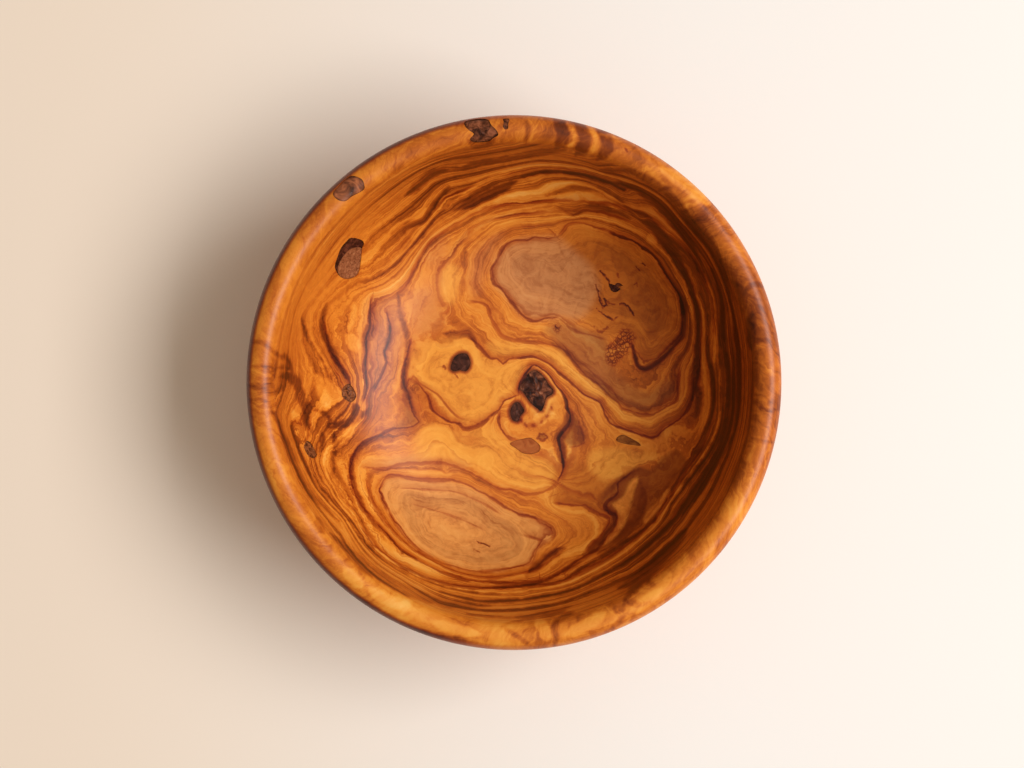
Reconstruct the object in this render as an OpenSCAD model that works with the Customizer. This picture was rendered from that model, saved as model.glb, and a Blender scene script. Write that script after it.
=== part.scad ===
// Turned wooden salad bowl with dead knots, bark and pith set in pockets of its wall, floor and rim.
// Millimetres, +Z up, origin at the middle of the foot. Angles round the bowl run from +X towards +Y.

/* [Bowl] */
// Diameter over the rim
outer_d = 300; // [240:5:400]
// Height from the foot to the crest of the rim
bowl_h = 110; // [90:1:160]
// Thickness of the wall, the floor and the round rim
wall_t = 16; // [10:0.5:24]
// Radius of the inside curve between the floor and the wall
cove_r = 80; // [40:1:95]
// Slope of the wall below the rim, from level
wall_slope = 80; // [60:1:86]
// Diameter of the flat foot
foot_d = 130; // [90:1:180]
// Height of the foot under the floor
foot_h = 2; // [1:0.5:6]

/* [Fit of the knots] */
// Gap between a knot and its pocket
knot_gap = 0.15; // [0.05:0.05:0.4]
// How far the face of a knot lies below the turned surface
knot_sink = 0.4; // [0.1:0.1:1]
// Depth of the pockets in the wall and the floor
pocket_depth = 8; // [4:0.5:12]
// Depth of the pockets in the rim
rim_pocket_depth = 6; // [4:0.5:8]
// Waviness of a knot's outline, as a share of its radius
ripple = 0.06; // [0:0.01:0.1]

/* [Wall knot] */
// Angle round the bowl
wall_knot_at = 143; // [136:1:150]
// Climb up the curve of the wall, from the floor
wall_knot_climb = 61; // [50:1:64]
// Length
wall_knot_l = 31; // [20:1:34]
// Width
wall_knot_w = 21; // [14:1:24]
// Turn of the length from straight up the wall
wall_knot_turn = -42; // [-90:1:90]
// Width of the bark along its upper edge
bark_w = 7; // [3:0.5:9]

/* [Side knot] */
// Angle round the bowl
side_knot_at = 184; // [176:1:190]
// Climb up the curve of the wall, from the floor
side_knot_climb = 36; // [20:1:60]
// Length
side_knot_l = 12; // [6:0.5:16]
// Width
side_knot_w = 9; // [5:0.5:12]
// Turn of the length from straight up the wall
side_knot_turn = 85; // [-90:1:90]

/* [Lower knot] */
// Angle round the bowl
lower_knot_at = 198; // [194:1:220]
// Climb up the curve of the wall, from the floor
lower_knot_climb = 66; // [50:1:70]
// Length
lower_knot_l = 13; // [6:0.5:18]
// Width
lower_knot_w = 9; // [5:0.5:12]
// Turn of the length from straight up the wall
lower_knot_turn = 25; // [-90:1:90]

/* [Eye knot] */
// Angle round the bowl
eye_knot_at = 44; // [20:1:70]
// Climb up the curve of the wall, from the floor
eye_knot_climb = 22; // [15:1:45]
// Length
eye_knot_l = 7; // [4:0.5:12]
// Width
eye_knot_w = 5; // [3:0.5:8]
// Turn of the length from straight up the wall
eye_knot_turn = -50; // [-90:1:90]

/* [Streak knot] */
// Angle round the bowl
streak_knot_at = 333.5; // [320:0.5:350]
// Climb up the curve of the wall, from the floor
streak_knot_climb = 18.5; // [15:0.5:45]
// Length
streak_knot_l = 15; // [8:0.5:20]
// Width
streak_knot_w = 5; // [3:0.5:8]
// Turn of the length from straight up the wall
streak_knot_turn = 14; // [-90:1:90]

/* [Floor knot] */
// Angle round the bowl
floor_knot_at = 347; // [330:1:360]
// Distance out from the bowl's axis
floor_knot_out = 14; // [12:0.5:20]
// Length
floor_knot_l = 27; // [16:1:28]
// Width
floor_knot_w = 20; // [12:1:21]
// Turn of the length from +X
floor_knot_turn = 100; // [80:1:120]

/* [Small floor knot] */
// Angle round the bowl
small_floor_knot_at = 276; // [262:1:280]
// Distance out from the bowl's axis
small_floor_knot_out = 17; // [16:0.5:24]
// Length
small_floor_knot_l = 12; // [6:0.5:13]
// Width
small_floor_knot_w = 8; // [5:0.5:9]
// Turn of the length from +X
small_floor_knot_turn = 75; // [60:1:100]

/* [Pith plug] */
// Angle round the bowl
pith_plug_at = 160; // [120:1:200]
// Distance out from the bowl's axis
pith_plug_out = 35; // [25:0.5:45]
// Length
pith_plug_l = 11; // [6:0.5:14]
// Width
pith_plug_w = 10; // [6:0.5:14]
// Turn of the length from +X
pith_plug_turn = 20; // [-90:1:90]

/* [Oval knot] */
// Angle round the bowl
oval_knot_at = 280; // [265:1:300]
// Distance out from the bowl's axis
oval_knot_out = 39; // [34:0.5:50]
// Length
oval_knot_l = 18; // [10:0.5:22]
// Width
oval_knot_w = 8; // [5:0.5:9]
// Turn of the length from +X
oval_knot_turn = -8; // [-30:1:30]

/* [Rim bark] */
// Angle round the bowl
rim_bark_at = 98; // [97:0.5:112]
// Lean from the crest of the rim, outwards
rim_bark_lean = -10; // [-20:1:10]
// Length across the rim
rim_bark_l = 14; // [8:0.5:15]
// Width along the rim
rim_bark_w = 17; // [8:0.5:20]

/* [Rim pin knot] */
// Angle round the bowl
rim_pin_knot_at = 92; // [80:0.5:92]
// Lean from the crest of the rim, outwards
rim_pin_knot_lean = 24; // [0:1:35]
// Length across the rim
rim_pin_knot_l = 8; // [4:0.5:9]
// Width along the rim
rim_pin_knot_w = 4; // [3:0.5:6]

/* [Rim knot] */
// Angle round the bowl
rim_knot_at = 130; // [118:0.5:160]
// Lean from the crest of the rim, outwards
rim_knot_lean = 8; // [-15:1:15]
// Length across the rim
rim_knot_l = 11; // [6:0.5:14]
// Width along the rim
rim_knot_w = 19; // [8:0.5:22]

/* [Hidden] */

// Steps of the curves, in degrees
cove_step = 4;
rim_step = 10;
knot_step = 10;
$fn = 180;

// Circle of the rim
rim_r = wall_t / 2;
rim_x = outer_d / 2 - rim_r;
rim_z = bowl_h - rim_r;

// Inside of the wall, carried straight down to the floor, and its length up to the rim
floor_z = foot_h + wall_t;
wall_foot_x = rim_x - rim_r / sin(wall_slope) - (rim_z - floor_z) / tan(wall_slope);
wall_len = (rim_z - floor_z + rim_r * cos(wall_slope)) / sin(wall_slope);

// The cove touches the floor and the wall, and ends where either of them does
cove_fit_r = min(cove_r, min(wall_len, wall_foot_x) / tan(wall_slope / 2));
floor_r = wall_foot_x - cove_fit_r * tan(wall_slope / 2);
cove_z = floor_z + cove_fit_r;
foot_r = foot_d / 2;

// Points on an arc, from one angle to another
function arc(x, z, r, from, to, step) =
    let (n = ceil(abs(to - from) / step))
    [for (i = [0 : n]) let (a = from + (to - from) * i / n) [x + r * cos(a), z + r * sin(a)]];

// Half section of the turned bowl, with all its faces moved into the wood by inset
function section(inset = 0) =
    let (
        outer_r = cove_fit_r + wall_t - inset,
        foot_edge = foot_r - inset,
        foot_a = asin(max(0, foot_edge - floor_r) / outer_r)
    )
    concat(
        [[0, inset], [foot_edge, inset]],
        foot_edge < floor_r ? [[foot_edge, foot_h + inset]] : [],
        arc(floor_r, cove_z, outer_r, foot_a - 90, wall_slope - 90, cove_step),
        arc(rim_x, rim_z, rim_r - inset, wall_slope - 90, wall_slope + 90, rim_step),
        arc(floor_r, cove_z, cove_fit_r + inset, wall_slope - 90, -90, cove_step),
        [[0, floor_z - inset]]
    );

// Outline of a knot: an oval with a wavy edge. The waves start at a phase that differs from knot to knot
function knot_outline(l, w, phase, grow = 0) =
    [for (a = [0 : knot_step : 360 - knot_step])
        let (
            oval = 1 / norm([cos(a) / (l / 2), sin(a) / (w / 2)]),
            wave = 1 + ripple * (cos(3 * a + phase) + cos(5 * a - phase) / 2),
            r = oval * wave + grow
        )
        r * [cos(a), sin(a)]];

module blank(inset = 0) {
    rotate_extrude()
        polygon(section(inset));
}

// Seats: each puts its children on the turned surface, with +Z out of the wood
module floor_seat(at, out, turn) {
    translate([out * cos(at), out * sin(at), floor_z])
        rotate(turn)
            children();
}

module wall_seat(at, climb, turn) {
    rotate(at)
        translate([floor_r, 0, cove_z])
            rotate([0, -climb, 0])
                translate([0, 0, -cove_fit_r])
                    rotate(turn)
                        children();
}

module rim_seat(at, lean) {
    rotate(at)
        translate([rim_x, 0, rim_z])
            rotate([0, lean, 0])
                translate([0, 0, rim_r])
                    children();
}

// Straight column of a knot's outline through the surface
module column(depth, rise, grow = 0) {
    translate([0, 0, -depth - grow])
        linear_extrude(depth + rise + grow)
            children();
}

// A knot is what its column cuts from the bowl, a little below the surface
module knot_face() {
    intersection() {
        blank(knot_sink);
        children();
    }
}

module wall_knot_whole(grow = 0) {
    polygon(knot_outline(wall_knot_l, wall_knot_w, wall_knot_at, grow));
}

// The wood of the knot lies lower on the wall than its whole outline, by the width of the bark
module wall_knot_wood(grow = 0) {
    rotate(-wall_knot_turn)
        translate([-bark_w, 0])
            rotate(wall_knot_turn)
                wall_knot_whole(grow);
}

module wall_knot_column(grow = 0) {
    wall_seat(wall_knot_at, wall_knot_climb, wall_knot_turn)
        column(pocket_depth, wall_knot_l / 2, grow)
            children();
}

module side_knot_column(grow = 0) {
    wall_seat(side_knot_at, side_knot_climb, side_knot_turn)
        column(pocket_depth, side_knot_l / 2, grow)
            polygon(knot_outline(side_knot_l, side_knot_w, side_knot_at, grow));
}

module lower_knot_column(grow = 0) {
    wall_seat(lower_knot_at, lower_knot_climb, lower_knot_turn)
        column(pocket_depth, lower_knot_l / 2, grow)
            polygon(knot_outline(lower_knot_l, lower_knot_w, lower_knot_at, grow));
}

module eye_knot_column(grow = 0) {
    wall_seat(eye_knot_at, eye_knot_climb, eye_knot_turn)
        column(pocket_depth, eye_knot_l / 2, grow)
            polygon(knot_outline(eye_knot_l, eye_knot_w, eye_knot_at, grow));
}

module streak_knot_column(grow = 0) {
    wall_seat(streak_knot_at, streak_knot_climb, streak_knot_turn)
        column(pocket_depth, streak_knot_l / 2, grow)
            polygon(knot_outline(streak_knot_l, streak_knot_w, streak_knot_at, grow));
}

module floor_knot_column(grow = 0) {
    floor_seat(floor_knot_at, floor_knot_out, floor_knot_turn)
        column(pocket_depth, floor_knot_l / 2, grow)
            polygon(knot_outline(floor_knot_l, floor_knot_w, floor_knot_at, grow));
}

module small_floor_knot_column(grow = 0) {
    floor_seat(small_floor_knot_at, small_floor_knot_out, small_floor_knot_turn)
        column(pocket_depth, small_floor_knot_l / 2, grow)
            polygon(knot_outline(small_floor_knot_l, small_floor_knot_w, small_floor_knot_at, grow));
}

module pith_plug_column(grow = 0) {
    floor_seat(pith_plug_at, pith_plug_out, pith_plug_turn)
        column(pocket_depth, pith_plug_l / 2, grow)
            polygon(knot_outline(pith_plug_l, pith_plug_w, pith_plug_at, grow));
}

module oval_knot_column(grow = 0) {
    floor_seat(oval_knot_at, oval_knot_out, oval_knot_turn)
        column(pocket_depth, oval_knot_l / 2, grow)
            polygon(knot_outline(oval_knot_l, oval_knot_w, oval_knot_at, grow));
}

module rim_bark_column(grow = 0) {
    rim_seat(rim_bark_at, rim_bark_lean)
        column(rim_pocket_depth, rim_r, grow)
            polygon(knot_outline(rim_bark_l, rim_bark_w, rim_bark_at, grow));
}

module rim_pin_knot_column(grow = 0) {
    rim_seat(rim_pin_knot_at, rim_pin_knot_lean)
        column(rim_pocket_depth, rim_r, grow)
            polygon(knot_outline(rim_pin_knot_l, rim_pin_knot_w, rim_pin_knot_at, grow));
}

module rim_knot_column(grow = 0) {
    rim_seat(rim_knot_at, rim_knot_lean)
        column(rim_pocket_depth, rim_r, grow)
            polygon(knot_outline(rim_knot_l, rim_knot_w, rim_knot_at, grow));
}

module bowl_body() {
    color("peru")
        difference() {
            blank();
            wall_knot_column(knot_gap)
                wall_knot_whole(knot_gap);
            side_knot_column(knot_gap);
            lower_knot_column(knot_gap);
            eye_knot_column(knot_gap);
            streak_knot_column(knot_gap);
            floor_knot_column(knot_gap);
            small_floor_knot_column(knot_gap);
            pith_plug_column(knot_gap);
            oval_knot_column(knot_gap);
            rim_bark_column(knot_gap);
            rim_pin_knot_column(knot_gap);
            rim_knot_column(knot_gap);
        }
}

module wall_knot() {
    color("rosybrown")
        knot_face()
            wall_knot_column()
                intersection() {
                    wall_knot_whole();
                    wall_knot_wood();
                }
}

module wall_knot_bark() {
    color([0.25, 0.12, 0.08])
        knot_face()
            wall_knot_column()
                difference() {
                    wall_knot_whole();
                    wall_knot_wood(knot_gap);
                }
}

module side_knot() {
    color("sienna")
        knot_face()
            side_knot_column();
}

module lower_knot() {
    color("sienna")
        knot_face()
            lower_knot_column();
}

module eye_knot() {
    color([0.3, 0.15, 0.1])
        knot_face()
            eye_knot_column();
}

module streak_knot() {
    color("saddlebrown")
        knot_face()
            streak_knot_column();
}

module floor_knot() {
    color([0.22, 0.14, 0.12])
        knot_face()
            floor_knot_column();
}

module small_floor_knot() {
    color([0.2, 0.15, 0.13])
        knot_face()
            small_floor_knot_column();
}

module pith_plug() {
    color([0.25, 0.17, 0.14])
        knot_face()
            pith_plug_column();
}

module oval_knot() {
    color("saddlebrown")
        knot_face()
            oval_knot_column();
}

module rim_bark() {
    color([0.3, 0.15, 0.08])
        knot_face()
            rim_bark_column();
}

module rim_pin_knot() {
    color([0.35, 0.18, 0.12])
        knot_face()
            rim_pin_knot_column();
}

module rim_knot() {
    color("sienna")
        knot_face()
            rim_knot_column();
}

bowl_body();
wall_knot();
wall_knot_bark();
side_knot();
lower_knot();
eye_knot();
streak_knot();
floor_knot();
small_floor_knot();
pith_plug();
oval_knot();
rim_bark();
rim_pin_knot();
rim_knot();
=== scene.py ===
import math
import bpy
import numpy as np
from mathutils import Matrix, Vector, noise


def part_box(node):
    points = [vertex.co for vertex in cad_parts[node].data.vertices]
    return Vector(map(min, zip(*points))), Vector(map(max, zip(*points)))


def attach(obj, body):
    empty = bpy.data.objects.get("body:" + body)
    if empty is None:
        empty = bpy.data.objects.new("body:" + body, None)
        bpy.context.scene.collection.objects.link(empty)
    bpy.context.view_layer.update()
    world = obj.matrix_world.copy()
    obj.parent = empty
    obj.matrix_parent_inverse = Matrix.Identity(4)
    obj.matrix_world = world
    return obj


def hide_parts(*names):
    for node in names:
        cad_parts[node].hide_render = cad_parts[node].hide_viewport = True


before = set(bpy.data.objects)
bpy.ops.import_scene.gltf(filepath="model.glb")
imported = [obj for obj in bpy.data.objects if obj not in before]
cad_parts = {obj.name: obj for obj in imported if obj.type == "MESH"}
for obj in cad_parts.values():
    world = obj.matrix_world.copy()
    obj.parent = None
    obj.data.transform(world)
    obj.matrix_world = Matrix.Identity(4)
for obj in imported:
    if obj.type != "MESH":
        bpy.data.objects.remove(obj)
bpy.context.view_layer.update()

mm = 0.001

# Turned bowl, in mm
bowl = {
    "wall": 16, "coveRadius": 80, "wallSlope": 80, "footDia": 130, "footHeight": 2,
    "around": 496, "floorSteps": 36, "coveSteps": 80, "wallSteps": 12, "rimSteps": 22,
    "outerWallSteps": 6, "outsideSteps": 24, "footEdgeSteps": 2, "footSteps": 6,
    "merge": 0.01, "smoothAngle": 38,
}
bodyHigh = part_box("bowl_body")[1]
bowl["radius"] = min(bodyHigh[0], bodyHigh[1]) / mm
bowl["height"] = bodyHigh[2] / mm

rimRadius = bowl["wall"] / 2
rimX = bowl["radius"] - rimRadius
rimZ = bowl["height"] - rimRadius
floorZ = bowl["footHeight"] + bowl["wall"]
slope = math.radians(bowl["wallSlope"])
coveRadius = bowl["coveRadius"]
wallRun = (rimZ - floorZ) / math.tan(slope)
floorRadius = rimX - rimRadius / math.sin(slope) - wallRun - coveRadius * math.tan(slope / 2)
coveZ = floorZ + coveRadius
coveEndX = floorRadius + coveRadius * math.sin(slope)
coveEndZ = coveZ - coveRadius * math.cos(slope)
wallTopX = rimX - rimRadius * math.sin(slope)
wallTopZ = rimZ + rimRadius * math.cos(slope)
outsideRadius = coveRadius + bowl["wall"]
footRadius = bowl["footDia"] / 2

# The photo's camera, straight above the bowl. Pixels are those of a 1024 x 768 picture
photo = {
    "wide": 1024, "high": 768, "camera": (-1.1, -0.8, 1202), "focalPixels": 1961.7, "sensor": 36,
    "sightSteps": 80,
}


def insideHeight(r):
    # height of the wood seen from above, from the floor to the outer edge of the rim
    r = np.asarray(r, float)
    reach = np.clip((r - floorRadius) / coveRadius, 0, math.sin(slope))
    wall = coveZ - coveRadius * np.sqrt(1 - reach ** 2) + np.maximum(r - coveEndX, 0) * math.tan(slope)
    rim = rimZ + np.sqrt(np.maximum(rimRadius ** 2 - (r - rimX) ** 2, 0))
    return np.where(r < wallTopX, wall, rim)


def photoToBowl(u, v):
    # follows the sight line down until it meets the bowl
    u, v = np.asarray(u, float), np.asarray(v, float)
    z = np.full(u.shape, float(floorZ))
    for step in range(photo["sightSteps"]):
        away = photo["camera"][2] - z
        x = photo["camera"][0] + (u - photo["wide"] / 2) / photo["focalPixels"] * away
        y = photo["camera"][1] - (v - photo["high"] / 2) / photo["focalPixels"] * away
        z = 0.5 * z + 0.5 * insideHeight(np.hypot(x, y))
    return np.stack([x, y, z], axis=-1)


def bowlToPhoto(points):
    away = photo["camera"][2] - points[:, 2]
    u = photo["wide"] / 2 + photo["focalPixels"] * (points[:, 0] - photo["camera"][0]) / away
    v = photo["high"] / 2 - photo["focalPixels"] * (points[:, 1] - photo["camera"][1]) / away
    return np.stack([u, v], axis=-1)


# Growth lines of the wood as they show on the floor and the wall: layer number, darkness, points in the photo
growthLines = {
    "greyLeft": (0, 0.7, [(557, 237), (545, 238), (534, 237), (527, 240), (515, 240), (507, 244),
        (500, 252), (497, 261), (492, 268), (492, 276), (495, 285), (502, 290), (508, 298), (516, 308),
        (524, 317), (533, 321), (541, 320), (549, 318), (559, 317)]),
    "greyFoot": (0, 0.35, [(559, 317), (568, 326), (577, 332), (594, 336), (606, 340)]),
    "greyTop": (0, 0.5, [(557, 237), (563, 231), (569, 224), (578, 223), (585, 224), (594, 227),
        (608, 231)]),
    "greyRight": (0, 1.0, [(608, 231), (619, 236), (630, 240), (640, 245), (651, 254), (658, 261),
        (664, 271), (670, 281), (678, 293), (682, 304), (683, 319)]),
    "greyHook": (0, 0.6, [(683, 319), (682, 335), (674, 346), (666, 355), (655, 364), (646, 369),
        (638, 365), (634, 353), (632, 340)]),
    "bandTop": (0.6, 0.35, [(561, 343), (576, 360), (585, 366), (594, 374), (603, 382), (613, 392),
        (618, 398)]),
    "lineOne": (1, 0.55, [(468, 301), (479, 302), (487, 306), (490, 316), (495, 326), (502, 336),
        (510, 339), (518, 341), (540, 343), (561, 348), (569, 356), (579, 370), (590, 379), (601, 387),
        (610, 397), (618, 403), (622, 409), (630, 411), (640, 415), (651, 415), (665, 408), (675, 402),
        (678, 394), (679, 379), (680, 368)]),
    "longLine": (2, 0.75, [(470, 336), (476, 343), (484, 352), (491, 359), (497, 358), (503, 364),
        (509, 359), (521, 358), (533, 357), (543, 361), (552, 366), (559, 373), (567, 379), (576, 387),
        (584, 395), (593, 399), (600, 403), (604, 412), (610, 423), (622, 429), (633, 432), (644, 436),
        (652, 438), (658, 436), (665, 428), (675, 422), (683, 416), (690, 405), (693, 394), (694, 376)]),
    "upperRing": (2, 0.25, [(446, 308), (439, 295), (437, 275), (443, 266), (452, 255), (458, 245),
        (467, 232), (482, 223), (495, 219), (518, 215), (540, 213), (565, 211), (600, 212), (632, 222),
        (660, 240), (683, 268), (697, 300), (702, 335), (698, 370), (694, 394)]),
    "thirdRing": (3, 0.4, [(398, 293), (408, 281), (418, 260), (428, 244), (440, 234), (465, 219),
        (490, 207), (520, 203), (560, 201), (600, 203), (640, 213), (672, 234), (697, 264), (711, 300),
        (714, 335)]),
    "yolkFoot": (2, 0.75, [(411, 380), (420, 386), (426, 394), (430, 403), (433, 411), (441, 417),
        (451, 423), (459, 424), (464, 429), (472, 428), (481, 424), (490, 417), (499, 410), (504, 401),
        (511, 398), (519, 395)]),
    "knotRing": (3, 0.95, [(519, 395), (519, 387), (523, 379), (528, 371), (533, 366), (538, 366),
        (544, 370), (550, 376), (555, 384), (561, 391), (566, 400), (567, 408), (570, 415), (569, 424),
        (562, 432), (558, 438), (560, 447), (562, 455), (563, 466), (561, 474), (557, 482)]),
    "knotRingLow": (3, 0.7, [(500, 411), (499, 420), (500, 428), (505, 435), (513, 439), (520, 441)]),
    "leftRing": (2, 0.6, [(411, 337), (409, 345), (406, 359), (403, 372), (405, 387), (409, 395),
        (410, 405), (414, 415), (419, 422), (414, 426), (403, 428), (391, 429), (384, 433), (371, 438),
        (361, 443), (353, 456), (350, 470), (352, 485), (360, 505), (373, 522), (386, 534), (398, 547),
        (414, 558), (431, 567), (449, 575), (468, 580), (500, 583), (520, 583), (541, 581), (560, 576)]),
    "outerRing": (3, 0.6, [(360, 527), (373, 544), (392, 560), (411, 571), (430, 579), (449, 585),
        (475, 588), (500, 588), (526, 586), (560, 583), (585, 571), (612, 556), (636, 538), (652, 523),
        (668, 501), (682, 478), (701, 450)]),
    "tanTop": (0, 0.5, [(389, 511), (383, 500), (380, 490), (383, 481), (391, 476), (405, 477), (421, 480),
        (443, 480), (450, 480), (465, 484), (481, 492), (495, 500), (504, 507), (519, 514), (536, 518),
        (549, 525), (554, 533), (551, 541)]),
    "tanFoot": (0, 0.4, [(551, 541), (544, 542), (536, 551), (531, 563), (513, 567), (498, 570), (475, 571),
        (452, 566), (436, 560), (420, 551), (407, 539), (397, 525), (389, 511)]),
    "tanBand": (1, 0.4, [(363, 467), (385, 469), (402, 464), (421, 463), (442, 463), (457, 467), (475, 475),
        (495, 487), (510, 490), (530, 495), (551, 489), (557, 482)]),
    "tanBandLow": (1, 0.4, [(366, 478), (369, 494), (377, 511), (388, 526), (400, 539), (414, 550),
        (431, 560), (449, 569), (467, 575), (490, 578), (515, 575), (535, 570), (548, 562), (560, 552)]),
    "zigzag": (1.5, 0.6, [(554, 503), (572, 505), (584, 506), (592, 511), (599, 514), (609, 519),
        (605, 529), (599, 537), (591, 544), (584, 552)]),
    "fishSide": (2, 0.8, [(634, 470), (626, 477), (617, 483), (618, 492), (609, 500), (605, 507),
        (610, 513), (617, 516), (613, 529), (606, 538), (596, 550), (581, 558), (562, 571), (543, 580)]),
    "leftSecond": (2.6, 0.75, [(386, 310), (390, 326), (389, 341), (384, 352), (386, 362), (380, 378),
        (372, 392)]),
    "leftThird": (3.2, 0.8, [(372, 296), (369, 313), (370, 326), (366, 338), (366, 352), (364, 366),
        (366, 388), (362, 403)]),
    "leftFourth": (5, 0.4, [(323, 321), (330, 352), (340, 367), (347, 376), (349, 385)]),
}
# Layer numbers at single places: hill tops and hollows between the lines
growthSpots = {
    "yolkMiddle": (2.7, (440, 370)), "yolkLow": (2.6, (480, 400)), "plain": (1.5, (490, 455)),
    "plainLeft": (1.6, (450, 445)), "greyMiddle": (-1.1, (515, 264)), "greyLow": (-1.1, (532, 290)),
    "greyEast": (-1.2, (556, 270)), "greySouth": (-1.2, (575, 295)), "amberNorth": (-1.2, (600, 255)),
    "amberMiddle": (-1.3, (632, 285)), "amberEast": (-1.2, (656, 318)), "amberLow": (-1.0, (648, 345)),
    "tanWest": (-1.5, (410, 497)), "tanMiddle": (-1.6, (440, 512)), "tanLow": (-1.6, (455, 540)),
    "tanEast": (-1.7, (485, 532)), "tanFar": (-1.5, (515, 545)), "knots": (3.8, (537, 388)),
    "eastPlain": (2.5, (590, 460)), "eastLow": (2.6, (640, 455)),
}
# Layers up the wall: height of layer 2 in mm, every 45 degrees round the bowl
wallLayers = {"second": 2, "secondAt": [45, 54, 36, 24, 20, 35, 52, 48], "pitch": 5.5,
              "heights": [66, 84, 101], "slack": 0.3}

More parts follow.
